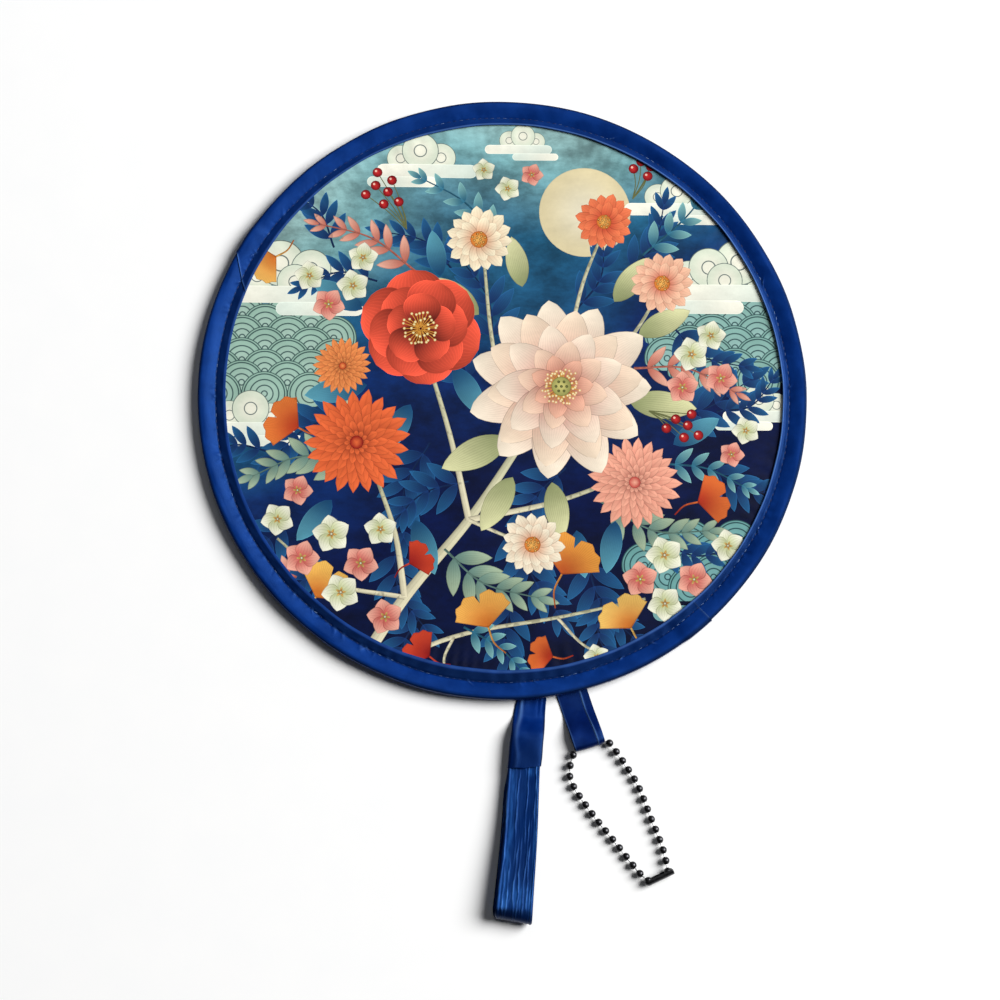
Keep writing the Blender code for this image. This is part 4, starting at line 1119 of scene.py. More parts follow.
def lay_tape(name, start, end, end_slant, lap_start, finish):
    """One length of tape round part of the rim, its last stretch lifted over the other tape."""
    edge_share, seam_share, fixed, middle = tape_section().T
    nominal = np.stack([edge_share * TAPE_EDGE_RADIUS + seam_share * SEAM_RADIUS + fixed, middle], 1)
    lean = run_and_side(nominal)[1]
    spaced = spacing(nominal)
    columns = round(COLUMNS_ROUND * (end - start) / 360)
    share = np.linspace(0, 1, columns + 1)[:, None]
    inward = np.clip((RIM_RADIUS - nominal[:, 0]) / (RIM_RADIUS - TAPE_EDGE_RADIUS), 0, 1)
    angle = start + (end + end_slant * inward - start) * share
    radius = edge_share * edge_radius(angle) + seam_share * seam_radius(angle) + fixed
    radius = radius + outer_slack(angle) * (fixed > HOOP_OUTER_RADIUS - FINEST_GAP / 2)
    from_seam = radius - seam_radius(angle)
    is_front = np.arange(len(fixed)) < FRONT_ROWS
    gathers = np.where(is_front, gathered(angle, from_seam, True), gathered(angle, from_seam, False))
    swell = tape_swell(angle, from_seam, gathers)
    outer_fade = ease((HOOP_INNER_RADIUS + 0.0002 - radius) / 0.0015)
    turn = np.radians(angle)
    outer_ripple = OUTER_RIPPLE_HEIGHT * np.sin(17 * turn + 2 * np.sin(3 * turn))
    swell = swell * outer_fade + outer_ripple * (1 - outer_fade)
    to_end = np.radians(end + end_slant * inward - angle) * radius
    cut_edge = np.exp(-(to_end / CUT_EDGE_WIDTH) ** 2)
    lift = ease((angle - lap_start + LAP_RAMP_ANGLE) / LAP_RAMP_ANGLE) * LAP_LIFT
    stand = lift + swell + CUT_EDGE_HEIGHT * cut_edge * ease((radius - TAPE_EDGE_RADIUS) / 0.001)
    stand = stand + CURL_HEIGHT * curl(angle) ** 2 * (1 - ease(spaced / CURL_WIDTH))
    from_back = spaced[-1] - spaced
    hem = hem_roll(HEM_HEIGHT, spaced)
    hem = hem * (0.2 + 0.8 * curl(angle)) * (0.85 + 0.15 * np.sin(29 * turn + 2 * np.sin(11 * turn)))
    back_hem = hem_roll(BACK_HEM_HEIGHT, from_back)

    def skin(off):
        out = radius + lean[:, 0] * (stand + off)
        height = middle + lean[:, 1] * (stand + off)
        return np.stack([out * np.cos(turn), out * np.sin(turn), height], -1)

    outer, inner = skin(TAPE_THICKNESS / 2 + hem + back_hem), skin(-TAPE_THICKNESS / 2)
    points, faces = loft(np.concatenate([outer, inner[:, ::-1]], 1))

    def both(values):
        values = np.broadcast_to(values, angle.shape)
        return np.concatenate([values, values[:, ::-1]], 1)

    # Painted light: the hem gets a painted highlight where it faces the lamp, most at the upper right, and the
    # lap's cut end and the crests of the gathers get one too. The strip between hem and seam gets painted shade,
    # deepest at the lower left, and the tape over the hoop's outer edge and wall gets painted shade.
    on_hem = np.exp(-((spaced - HEM_WIDTH * 0.45) / (HEM_WIDTH * 0.42)) ** 2)
    strip_shade = ease((spaced - HEM_WIDTH * 0.75) / 0.0004) * (1 - ease(from_seam / 0.0007)) * (spaced < 0.012)
    shaded = 0.5 + 0.5 * np.cos(np.radians(angle - 232))
    wall_shade = ease((radius - HOOP_INNER_RADIUS - 0.00015) / 0.0006) * (0.45 + 0.45 * (middle > HOOP_TOP))
    crests = 0.75 * ease((gathers - 0.00012) / 0.0004) * is_front
    hem_highlight = on_hem * (0.12 + 0.88 * curl(angle))
    return add_piece(name, points, faces, finish, {
        "tape_run": both(turn * RIM_RADIUS),
        "tape_across": both(spaced[None]),
        "tape_highlight": both(np.maximum(hem_highlight, np.maximum(0.8 * cut_edge, crests))),
        "tape_shade": both(np.clip(strip_shade * (0.25 + 0.65 * shaded) + wall_shade, 0, 1)),
    })


SATIN_GLOSS = {"Specular IOR Level": 0.44, "Specular Tint": colour(84, 150, 250)}


def satin_finish(name, deep, bright, line):
    """Woven satin: fine lengthwise threads dyed in soft clouds, a painted highlight as strong as the line value,
    and painted shade, each where the piece's mesh marks it.
    """
    satin = Finish(name, SATIN_GLOSS)
    satin.show({"Anisotropic": 0.3})
    satin.show({"Sheen Weight": 0.04, "Sheen Roughness": 0.4, "Sheen Tint": colour(90, 140, 255)})
    across = satin.carried("tape_across")
    place = satin.node("CombineXYZ", None, {0: satin.carried("tape_run") * 0.10, 1: across, 2: 0.0})
    threads = satin.mottle(0.00022, 3.0, 0.6, place)
    cloud = satin.mottle(0.0095, 4.0, 0.55)
    dye_and_painted_light = satin.mix((threads - 0.5) * 0.5 + cloud.rise(0.25, 0.75), deep, bright)
    # Painted highlight, then painted shade, laid into the colour where the piece's mesh marks them.
    dye_and_painted_light = satin.mix(satin.carried("tape_highlight") * line, dye_and_painted_light, colour(92, 132, 190))
    dye_and_painted_light = satin.mix(satin.carried("tape_shade"), dye_and_painted_light, colour(0, 8, 38))
    satin.show({"Base Color": dye_and_painted_light, "Roughness": 0.36 + 0.14 * cloud + 0.16 * (threads - 0.5)})
    rib = (across * (2 * math.pi / RIB_PITCH)).sine()
    satin.emboss(threads * 0.75 + rib * 0.25, 0.00003)
    return satin


binding_satin = satin_finish("binding_satin", colour(2, 34, 98), colour(8, 48, 122), 0.55)
upper_start = LOWER_LAP_ANGLE - LAP_LENGTH_ANGLE
lower_start = UPPER_LAP_ANGLE - LAP_LENGTH_ANGLE
lower_end = LOWER_LAP_ANGLE + 360
upper_tape = lay_tape(
    "upper_tape", upper_start, UPPER_LAP_ANGLE, UPPER_LAP_SLANT, lower_start, binding_satin)
lower_tape = lay_tape("lower_tape", lower_start, lower_end, 0.0, upper_start + 360, binding_satin)
for tape, node, span in (
    (upper_tape, "upper_binding_tape", UPPER_LAP_ANGLE - upper_start),
    (lower_tape, "lower_binding_tape", lower_end - lower_start),
):
    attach(tape, "fan")
    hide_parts(node)


def lap_lift(angle):
    """Lift of the tape that lies on top at an angle round the rim."""
    angle = (angle - lower_start) % 360 + lower_start
    over_upper = ease((angle - 360 - lower_start + LAP_RAMP_ANGLE) / LAP_RAMP_ANGLE)
    over_upper *= angle - 360 < UPPER_LAP_ANGLE + 5
    over_lower = ease((angle - upper_start - 360 + LAP_RAMP_ANGLE) / LAP_RAMP_ANGLE)
    over_lower *= angle < lower_end
    near_start = float(angle < UPPER_LAP_ANGLE + 4.6)
    return LAP_LIFT * max(over_upper, over_lower, near_start)


def thread_bits(middles, headings, length, radius):
    """Short round-ended bits of thread, as one mesh of closed bodies."""
    shares = np.array((-0.5, -0.44, -0.3, 0.0, 0.3, 0.44, 0.5))
    sinks = np.array((-1.2, -0.25, 0.1, 0.3, 0.1, -0.25, -1.2))
    widths = np.array((0.35, 0.85, 1.0, 1.0, 1.0, 0.85, 0.35))
    turns = np.arange(THREAD_SIDES) * 2 * np.pi / THREAD_SIDES
    cosine, sine = np.cos(turns)[:, None], np.sin(turns)[:, None]
    points, faces = [], []
    for middle, (along, up) in zip(middles, headings):
        side = np.cross(up, along)
        rings = []
        for share, sink, width in zip(shares, sinks, widths):
            centre = middle + along * share * length + up * sink * radius
            rings.append(centre + (cosine * side + sine * up) * radius * width)
        bit, bit_faces = loft(np.array(rings))
        faces += [tuple(face + len(points) * len(bit)) for face in bit_faces]
        points.append(bit)
    return np.concatenate(points), faces


def sew_binding(hand):
    """Stitches through both sides of the tape, and how much painted highlight each one carries."""
    middles, headings, painted_glints = [], [], []
    count = round(2 * math.pi * SEAM_RADIUS / STITCH_PITCH)
    for i in range(count):
        angle = 360 * i / count
        turn = math.radians(angle)
        out = np.array((math.cos(turn), math.sin(turn), 0.0))
        along = np.array((-math.sin(turn), math.cos(turn), 0.0))
        drift = hand.uniform(-0.0001, 0.0001)
        painted_glint = 0.9 * hand.random() ** 9
        for side, height in ((1, STRIP_HEIGHT), (-1, BACK_STRIP_HEIGHT)):
            groove = STITCH_GROOVE * (0.25 + 0.75 * pull(angle))
            surface = height + side * (TAPE_THICKNESS / 2 + lap_lift(angle) - groove + FINEST_GAP)
            middles.append(out * (seam_radius(angle) + drift) + (0.0, 0.0, surface))
            headings.append((along + out * hand.uniform(-0.12, 0.12), np.array((0.0, 0.0, float(side)))))
            painted_glints.append(painted_glint)
    points, faces = thread_bits(middles, headings, STITCH_LENGTH, THREAD_RADIUS)
    return points, faces, {"painted_thread_highlight": np.repeat(painted_glints, len(points) // len(painted_glints))}


thread = Finish("polyester_thread", {"Specular IOR Level": 0.5})
twist = thread.mottle(0.00025, 2.0, 0.5)
plain_thread = thread.mix(twist, colour(4, 20, 72), colour(9, 34, 96))
# A few stitches, picked at random, get a painted highlight.
thread.show({
    "Base Color": thread.mix(thread.carried("painted_thread_highlight"), plain_thread, colour(130, 164, 214)),
    "Roughness": 0.36 + 0.2 * twist,
})
thread.emboss(twist, 0.00004)
stitch_points, stitch_faces, stitch_values = sew_binding(random.Random(3))
stitches = add_piece("binding_stitches", stitch_points, stitch_faces, thread, stitch_values)
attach(stitches, "fan")


# Hand strap, sleeve
# A tube of the same satin, turned right side out and pressed flat. Its root is sewn behind the
# rim, its mouth is folded in, and it holds the two ends of the elastic.


def bend_frame(name):
    """Frame of a packed bend: across, outwards and up."""
    joint = next(joint for joint in frame["joints"] if joint["name"] == name)
    across = Vector(joint["axis"]).normalized()
    up = Vector((0.0, 0.0, 1.0))
    turn = Matrix((across, up.cross(across), up)).transposed().to_4x4()
    return Matrix.Translation(joint["pos_m"]) @ turn


def node_span(node, place):
    """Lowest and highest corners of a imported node, seen in a bend's own frame."""
    back = place.inverted()
    corners = np.array([back @ vertex.co for vertex in frame["nodes"][node].data.vertices])
    return corners.min(0), corners.max(0)


def put(points, place):
    """Points moved from a bend's own frame to the fan's."""
    flat = np.asarray(points).reshape(-1, 3)
    moved = flat @ np.array(place.to_3x3()).T + np.array(place.translation)
    return moved.reshape(np.shape(points))


def flat_ring(half_width, bottom, top, along, count=64):
    """Closed section of a pressed tube: soft flat faces and tight folds at its sides."""
    turns = (np.arange(count) + 0.5) * 2 * np.pi / count
    cosine, sine = np.cos(turns), np.sin(turns)
    across = half_width * np.sign(cosine) * np.abs(cosine) ** 0.62
    height = (top + bottom) / 2 + (top - bottom) / 2 * np.sign(sine) * np.abs(sine) ** 0.55
    return np.stack([across, np.full(count, along), height], 1)


strap_place = bend_frame("strap_swing")
root_low, root_high = node_span("strap_root", strap_place)
sleeve_low, sleeve_high = node_span("strap_sleeve", strap_place)
SLEEVE_WALL = 0.0003
SLEEVE_FLAT_LENGTH = 0.0056
SLEEVE_FULL_LENGTH = 0.0130
SLEEVE_FOLD_HEIGHT = 0.00024
SLEEVE_DENT_HEIGHT = 0.00010
SLEEVE_HOLLOW_DEPTH = 0.00016
SLEEVE_GATHER_HEIGHT = 0.00009
SLEEVE_NARROWING_SHARE = 0.045
SLEEVE_NARROWING_LENGTH = 0.0075
SLEEVE_LIP_LENGTH = 0.004
STRAP_RISE = 0.0024
STRAP_RISE_START = 0.0048
STRAP_RISE_LENGTH = 0.011


def strap_rise(along):
    """How far the strap stands off the table: it comes up from behind the rim and sinks again."""
    mouth = sleeve_high[1]
    risen = ease((along - STRAP_RISE_START) / STRAP_RISE_LENGTH)
    return STRAP_RISE * risen * (1 - ease((along - mouth - 0.004) / 0.050))


def sleeve_spare(along):
    """How much fuller the sleeve lies on its left side, away from its seam."""
    return np.interp(along, (-0.001, 0.004, 0.010, sleeve_high[1]), (0.0, 0.0008, 0.0015, 0.0020))


def sleeve_rings():
    """Rings from the root along the outside to the mouth, round its lip and back along the inside."""
    low, high = sleeve_low[2] + FINEST_GAP, sleeve_high[2]
    mouth = sleeve_high[1]
    half = sleeve_high[0]
    rings = []
    for along in np.linspace(root_low[1], mouth, 110):
        rise = ease((along - SLEEVE_FLAT_LENGTH) / (SLEEVE_FULL_LENGTH - SLEEVE_FLAT_LENGTH))
        top = root_high[2] + (high - root_high[2]) * rise
        ring = flat_ring(half - 0.00005, low, top, along)
        share = ring[:, 0] / half
        above = ring[:, 2] > (low + top) / 2
        fold_off = share - 0.66 + 0.07 * math.sin(along * 330)
        fold = SLEEVE_FOLD_HEIGHT * np.exp(-(fold_off / 0.11) ** 2)
        dents = SLEEVE_DENT_HEIGHT * np.sin(share * 3.1 + along * 330) * math.sin(along * 210 + 0.4)
        hollow = -SLEEVE_HOLLOW_DEPTH * (1 - share ** 2) * rise
        gather = SLEEVE_GATHER_HEIGHT * np.sin(share * 19 + 1) * math.exp(-(along / 0.005) ** 2)
        ring[:, 2] += above * (1 - share ** 8) * (fold + dents + hollow + gather)
        drawn_in = float(ease((along - mouth + SLEEVE_NARROWING_LENGTH) / SLEEVE_NARROWING_LENGTH))
        ring[:, 0] *= 1 - SLEEVE_NARROWING_SHARE * (ring[:, 0] < 0) * drawn_in
        ring[:, 0] *= 1 + (ring[:, 0] > 0) * sleeve_spare(along) / half
        ring[:, 0] += 0.00008 * math.sin(along * 410 + 0.7)
        lip = 0.0007 * share + 0.00035 * np.sin(share * 2.6 + 0.6) + 0.00012 * np.sin(share * 9)
        ring[:, 1] += lip * ease((along - mouth + SLEEVE_LIP_LENGTH) / SLEEVE_LIP_LENGTH)
        rings.append(ring)
    middle, half_height = (low + high) / 2, (high - low) / 2
    lip_ring = rings[-1]
    for inset, back in ((0.00010, -0.00008), (0.00022, -0.00006), (0.00030, 0.0002)):
        ring = lip_ring.copy()
        ring[:, 0] *= 1 - inset / half
        ring[:, 2] = middle + (ring[:, 2] - middle) * (1 - inset / half_height)
        ring[:, 1] -= back
        rings.append(ring)
    for along in np.linspace(mouth - 0.0022, SLEEVE_FULL_LENGTH + 0.0012, 15):
        ring = flat_ring(half - SLEEVE_WALL, low + SLEEVE_WALL, high - SLEEVE_WALL, along)
        ring[:, 0] *= np.where(ring[:, 0] < 0, 0.952, 1 + 0.0016 / half)
        rings.append(ring)
    rings = np.array(rings)
    rings[..., 2] += strap_rise(rings[..., 1])
    return rings


sleeve_points, sleeve_faces = loft(sleeve_rings())
sleeve_half = sleeve_high[0] + (sleeve_points[:, 0] > 0) * sleeve_spare(sleeve_points[:, 1])
sleeve_share = sleeve_points[:, 0] / sleeve_half
# Painted light: a highlight along a wavy line near the left fold, fading towards the mouth, and painted shade that
# deepens towards the mouth and over both folded sides.
sleeve_down = ease((sleeve_points[:, 1] - 0.002) / 0.022)
sleeve_highlight_line = 0.64 - 0.06 * np.sin(sleeve_points[:, 1] * 330)
sleeve_satin = satin_finish("sleeve_satin", colour(0, 30, 98), colour(2, 40, 114), 0.50)
sleeve = add_piece("satin_sleeve", put(sleeve_points, strap_place), sleeve_faces, sleeve_satin, {
    "tape_run": sleeve_points[:, 1],
    "tape_across": sleeve_points[:, 0],
    "tape_highlight": np.exp(-((sleeve_share - sleeve_highlight_line) / 0.10) ** 2) * (1 - 0.8 * sleeve_down),
    "tape_shade": np.clip(0.66 * sleeve_down + 0.9 * ease((np.abs(sleeve_share) - 0.82) / 0.14), 0, 0.92),
})
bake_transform(sleeve)
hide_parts("strap_root", "strap_sleeve")


# Hand strap, elastic
# One length of shiny elastic, woven over eleven fine cords of rubber that gather its threads into
# uneven ribs. It is doubled into a loop, and both of its ends are sewn inside the sleeve's mouth.

tail_low, tail_high = node_span("elastic_tail", strap_place)
loop_low, loop_high = node_span("elastic_loop", strap_place)
ELASTIC_THICKNESS = 0.0008
ELASTIC_RIBS = 11
RIB_HEIGHT = 0.00019
RIB_HALF_WIDTH = 0.047
SELVEDGE_HEIGHT = 0.00016
LOOP_CROWN = 0.00016
LOOP_SLIP = 0.0007
LOOP_MOUTH_WIDTH = 0.0112
LOOP_SETTLE_LENGTH = 0.0090
LOOP_SPRING = 0.0009
LOOP_SPLAY = 0.0010
LEFT_CORNER = (0.0019, 0.0013)
RIGHT_CORNER = (0.0009, 0.0006)
TAIL_INSET = 0.0002


def elastic_route():
    """Middle line of the elastic as (along, height), from one tail round the loop to the other."""
    half = ELASTIC_THICKNESS / 2
    tail_middle = (tail_low[2] + tail_high[2]) / 2
    layer = (tail_high[2] - tail_low[2]) / 2 - half
    low = loop_low[2] + half
    high = loop_high[2] - half + LOOP_SPRING
    radius = (high - low) / 2
    turn_start = loop_high[1] - half - radius
    mouth = sleeve_high[1]
    settle = mouth + LOOP_SETTLE_LENGTH
    lower = [(along, tail_middle - layer) for along in np.linspace(tail_low[1] + TAIL_INSET, mouth, 12)]
    for share in np.linspace(0, 1, 19)[1:]:
        drop = (low - tail_middle + layer) * float(ease(share))
        lower.append((mouth + (settle - mouth) * share, tail_middle - layer + drop))
    lower += [(along, low) for along in np.linspace(settle, turn_start, 70)[1:-1]]
    fold = arc((turn_start, low + radius), radius, -90, 90, 26)
    upper = []
    for share in np.linspace(0, 1, 120)[1:]:
        drop = (tail_middle + layer - high) * float(ease(share))
        upper.append((turn_start + (mouth - turn_start) * share, high + drop))
    back = np.linspace(mouth, tail_low[1] + TAIL_INSET, 12)[1:]
    upper += [(along, tail_middle + layer) for along in back]
    route = np.concatenate([lower, fold, upper])
    route[:, 1] += strap_rise(route[:, 0])
    return route


def elastic_relief(share, place, gathered):
    """Height of the ribs, from 0 to 1: thin crests that wander and fade along the elastic."""
    relief = np.zeros(len(share))
    for rib in range(ELASTIC_RIBS):
        middle = (rib + 0.5) / ELASTIC_RIBS * 2 - 1
        wander = 0.036 * math.sin(place * 160 + rib * 1.9) + 0.020 * math.sin(place * 390 + rib * 2.7)
        wander += 0.010 * math.sin(place * 1150 + rib * 4.1)
        strength = 0.30 + 0.62 * math.sin(place * (74 + 11 * (rib % 3)) + rib * 2.3)
        strength += 0.30 * math.sin(place * 410 + rib * 1.3)
        strength = min(max(strength + 0.7 * gathered, 0.08), 1.0)
        if rib in (0, ELASTIC_RIBS - 1):
            strength = 0.5 + 0.5 * strength
        crest = np.exp(-((share - middle - wander) / RIB_HALF_WIDTH) ** 2)
        relief = np.maximum(relief, strength * crest)
    return relief


def elastic_highlight(share, from_mouth, from_end):
    """Where the elastic gets a painted highlight: a band down each side, one across the mouth and one before the
    fold.
    """
    wander = 0.05 * math.sin(from_mouth * 420)
    past_mouth = float(ease(from_mouth / 0.004))
    near_mouth = 1 - 0.7 * float(ease((from_mouth - 0.030) / 0.012))
    at_mouth = math.exp(-((from_mouth - 0.0018) / 0.0016) ** 2)
    before_fold = math.exp(-((from_end - 0.0100) / 0.0046) ** 2)
    shine = 0.58 * np.exp(-((share - 0.68 - wander) / 0.18) ** 2) * past_mouth
    shine += 0.80 * np.exp(-((share + 0.84) / 0.08) ** 2) * near_mouth
    shine += 0.80 * np.exp(-((share + 0.34) / 0.22) ** 2) * at_mouth
    shine += (0.62 - 0.14 * share + 0.22 * np.cos(share * 9 + 0.8)) * before_fold
    return shine + 0.10


def corner_cut(past_end, length, depth):
    """How far a rounded corner draws in the side of the strap near its end."""
    past_start = max(past_end + length, 0.0) / length
    return depth * (1 - math.sqrt(max(1 - past_start ** 2, 0.0)))


def make_elastic():
    """Closed ribbed band along the route, and what its mesh carries for the finish."""
    route = elastic_route()
    lean = run_and_side(route)[1]
    spaced = spacing(route)
    tail_width = tail_high[0] - tail_low[0]
    loop_width = loop_high[0] - loop_low[0]
    share = np.linspace(-1, 1, 121)
    edge = np.sqrt(np.clip(1 - np.abs(share) ** 18, 0, 1))
    far_end = loop_high[1]
    mouth = sleeve_high[1]
    fold_place = spaced[np.argmax(route[:, 0])]
    rings, tops, runs, sides, shines, shares = [], [], [], [], [], []
    for (along, height), (lean_along, lean_up), place in zip(route, lean, spaced):
        spread = float(ease((along - mouth + 0.0026) / 0.0030))
        grown = np.interp(along, (mouth, far_end), (LOOP_MOUTH_WIDTH, loop_width + 0.0006))
        width = tail_width + (float(grown) - tail_width) * spread
        spare = float(np.interp(along, (mouth, mouth + 0.020), (0.0016, 0.0013))) * spread
        left = width / 2 + spare - corner_cut(along - far_end, *LEFT_CORNER)
        right = width / 2 - corner_cut(along - far_end, *RIGHT_CORNER)
        across = np.where(share > 0, share * left, share * right)
        gathered = math.exp(-((along - far_end + 0.0085) / 0.0032) ** 2)
        relief = elastic_relief(share, place, gathered)
        selvedge = SELVEDGE_HEIGHT * np.exp(-((np.abs(share) - 0.90) / 0.05) ** 2)
        face = (ELASTIC_THICKNESS / 2 - RIB_HEIGHT + RIB_HEIGHT * relief + selvedge) * edge
        lift = LOOP_CROWN * (1 - share ** 2) * spread * float(ease((place - fold_place) / 0.006))
        skew = (0.00015 * math.sin(place * 95) + 0.0002 * math.exp(-((along - mouth) / 0.02) ** 2)) * spread
        skew += LOOP_SPLAY * float(ease((along - mouth) / 0.012) * ease((fold_place - place) / 0.007))
        slip = LOOP_SLIP * share * float(ease((along - far_end + 0.006) / 0.006))

        def skin(off):
            return np.stack([across + skew, along - slip + lean_along * off, height + lean_up * off], 1)

        rings.append(np.concatenate([skin(face + lift)[:-1], skin(-face + lift)[::-1][:-1]]))
        runs.append(np.full(2 * len(share) - 2, place))
        shine = elastic_highlight(share, along - mouth, far_end - along)
        for kept, values in ((tops, relief), (sides, across), (shines, shine), (shares, share)):
            kept.append(np.concatenate([values[:-1], values[::-1][:-1]]))
    points, faces = loft(np.array(rings))
    shares = np.concatenate(shares)
    # Painted shade along both edges and over the fold at the far end.
    painted_shade = 0.85 * ease((np.abs(shares) - 0.93) / 0.06)
    fold_shade = ease((points[:, 1] - far_end + 0.0058) / 0.0018) * (0.82 + 0.22 * shares)
    return points, faces, {
        "rib_top": np.concatenate(tops),
        "elastic_run": np.concatenate(runs),
        "elastic_across": np.concatenate(sides),
        "elastic_highlight": np.clip(np.concatenate(shines), 0, 1),
        "elastic_shade": np.clip(np.maximum(painted_shade, fold_shade), 0, 0.95),
    }


ribbed = Finish("ribbed_elastic", SATIN_GLOSS)
ribbed.show({"Anisotropic": 0.4})
rib_top = ribbed.carried("rib_top")
elastic_run, elastic_across = ribbed.carried("elastic_run"), ribbed.carried("elastic_across")
streak_place = ribbed.node("CombineXYZ", None, {0: elastic_run * 0.30, 1: elastic_across * 2.0, 2: 0.0})
fibre_place = ribbed.node("CombineXYZ", None, {0: elastic_run * 0.12, 1: elastic_across, 2: 0.0})
streak = ribbed.mottle(0.0022, 4.0, 0.62, streak_place)
fibre = ribbed.mottle(0.00020, 2.0, 0.5, fibre_place)
cloudy = ribbed.mottle(0.012, 2.0, 0.5)
# Painted light: the rib crests and the marked bands are painted lighter as highlights, and the marked edges and
# fold are painted darker as shade.
painted_thread_highlight = ribbed.carried("elastic_highlight")
crest_light_and_dye_cloud = rib_top * 0.35 + cloudy.rise(0.3, 0.7) * 0.6
flat_highlight = painted_thread_highlight * (0.25 + 0.60 * streak.rise(0.34, 0.66))
elastic_dye_and_light = ribbed.mix(crest_light_and_dye_cloud, colour(0, 18, 66), colour(3, 34, 92))
elastic_dye_and_light = ribbed.mix(flat_highlight, elastic_dye_and_light, colour(34, 86, 158))
rib_highlight = rib_top.rise(0.25, 0.85) * streak.rise(0.38, 0.64) * (0.30 + 0.70 * painted_thread_highlight)
elastic_dye_and_light = ribbed.mix(rib_highlight, elastic_dye_and_light, colour(66, 116, 184))
ribbed.show({
    "Base Color": ribbed.mix(ribbed.carried("elastic_shade"), elastic_dye_and_light, colour(1, 9, 36)),
    "Roughness": 0.32 + 0.20 * streak,
})
ribbed.emboss(fibre * 0.5 + streak * 0.5, 0.00006)
elastic_points, elastic_faces, elastic_values = make_elastic()
elastic_points = put(elastic_points, strap_place)
elastic = add_piece("ribbed_elastic", elastic_points, elastic_faces, ribbed, elastic_values)
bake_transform(elastic)
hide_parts("elastic_tail", "elastic_loop")


# Chain tab
# A short length of the satin tape, folded lengthwise so that its edge shows on the right, doubled
# round the chain and sewn behind the rim beside the strap.

tab_place = bend_frame("tab_swing")
tab_root_low = node_span("tab_root", tab_place)[0]
tab_low, tab_high = node_span("tab_loop", tab_place)
TAB_FOLD_INSET = 0.0031
TAB_FOLD_STEP = 0.00022
TAB_CORNER = 0.0012
TAB_CREST_INSET = 0.0027
TAB_RISE_START = 0.0056
TAB_LINE_HEIGHT = 0.00010
TAB_SIDE_DROP = 0.00030


def tab_route():
    """Middle line of the doubled tape as (along, height), from the root under the chain and back."""
    half = TAPE_THICKNESS / 2
    low = tab_low[2] + half
    high = tab_high[2] - half
    radius = (high - low) / 2
    turn_start = tab_high[1] - half - radius
    crest = turn_start - TAB_CREST_INSET
    lower = [(along, low) for along in np.linspace(tab_root_low[1], turn_start, 46)[:-1]]
    fold = arc((turn_start, low + radius), radius, -90, 90, 14)
    upper = [(along, high) for along in np.linspace(turn_start, crest, 5)[1:]]
    root_top = low + 2 * half + FINEST_GAP
    for share in np.linspace(0, 1, 26)[1:]:
        drop = (root_top - high) * float(ease(share))
        upper.append((crest + (TAB_RISE_START - crest) * share, high + drop))
    upper += [(along, root_top) for along in np.linspace(TAB_RISE_START, tab_root_low[1], 24)[1:]]
    return np.concatenate([lower, fold, upper])


def make_tab():
    """Closed band of tape along the route, and what its mesh carries for the finish."""
    route = tab_route()
    lean = run_and_side(route)[1]
    spaced = spacing(route)
    share = np.linspace(-1, 1, 71)
    rings, runs, sides, edges, painted_shades = [], [], [], [], []
    for (along, height), (lean_along, lean_up), place in zip(route, lean, spaced):
        corner = max(along - tab_high[1] + TAB_CORNER, 0.0)
        corner_side = math.sqrt(max(TAB_CORNER ** 2 - corner ** 2, 0.0))
        half = tab_high[0] - 2 * FINEST_GAP - 0.7 * (TAB_CORNER - corner_side)
        across = share * half
        bent = 0.00025 * math.sin(along * 260) + 0.0002 * math.sin(along * 90 + 1)
        from_fold = TAB_FOLD_INSET - tab_high[0] - across + bent
        opened = float(ease((along - 0.004) / 0.012))
        step = TAB_FOLD_STEP * (ease(from_fold / TAB_FOLD_STEP + 0.5) - 1)
        step = step + TAB_LINE_HEIGHT * np.exp(-((from_fold - 0.0003) / 0.0003) ** 2)
        soft = 0.00010 * np.sin(across * 520 + place * 260) + 0.00008 * np.sin(place * 600 + across * 300)
        sag = TAB_SIDE_DROP * np.abs(share) ** 5
        stand = (soft - sag) * opened + step * float(ease((along + 0.0005) / 0.002))

        def skin(off):
            return np.stack([across, along + lean_along * off, height + lean_up * off], 1)

        outer, inner = -TAPE_THICKNESS / 2 - stand, TAPE_THICKNESS / 2 - soft * 0.6 * opened
        rings.append(np.concatenate([skin(outer), skin(inner)[::-1]]))
        # Painted highlight along the fold line and a weaker one along the opposite edge; below it, painted shade
        # on both sides and towards the end round the chain.
        ridge = np.exp(-((from_fold - 0.00014) / 0.00026) ** 2)
        ridge = ridge * (0.72 + 0.28 * math.sin(along * 420 + 0.5))
        ridge = ridge + 0.35 * np.exp(-((half - across - 0.0003) / 0.0002) ** 2)
        painted_shade = 0.7 * ease((np.abs(share) - 0.93) / 0.06)
        painted_shade = painted_shade + 0.5 * ease((along - tab_high[1] + 0.0030) / 0.0020)
        runs.append(np.full(2 * len(share), place))
        for kept, values in ((sides, across), (edges, ridge), (painted_shades, painted_shade)):
            kept.append(np.concatenate([values, values[::-1]]))
    points, faces = loft(np.array(rings))
    return points, faces, {
        "tape_run": np.concatenate(runs),
        "tape_across": np.concatenate(sides),
        "tape_highlight": np.concatenate(edges),
        "tape_shade": np.clip(np.concatenate(painted_shades), 0, 0.9),
    }


tab_satin = satin_finish("tab_satin", colour(0, 12, 62), colour(3, 26, 90), 0.9)
tab_points, tab_faces, tab_values = make_tab()
tab = add_piece("satin_tab", put(tab_points, tab_place), tab_faces, tab_satin, tab_values)
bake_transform(tab)
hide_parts("tab_root", "tab_loop")


# Ball chain
# Each bead is a little tube of steel strip rolled shut to a ball round the heads of two wire
# links, then plated black. The links keep their bright drawn wire.

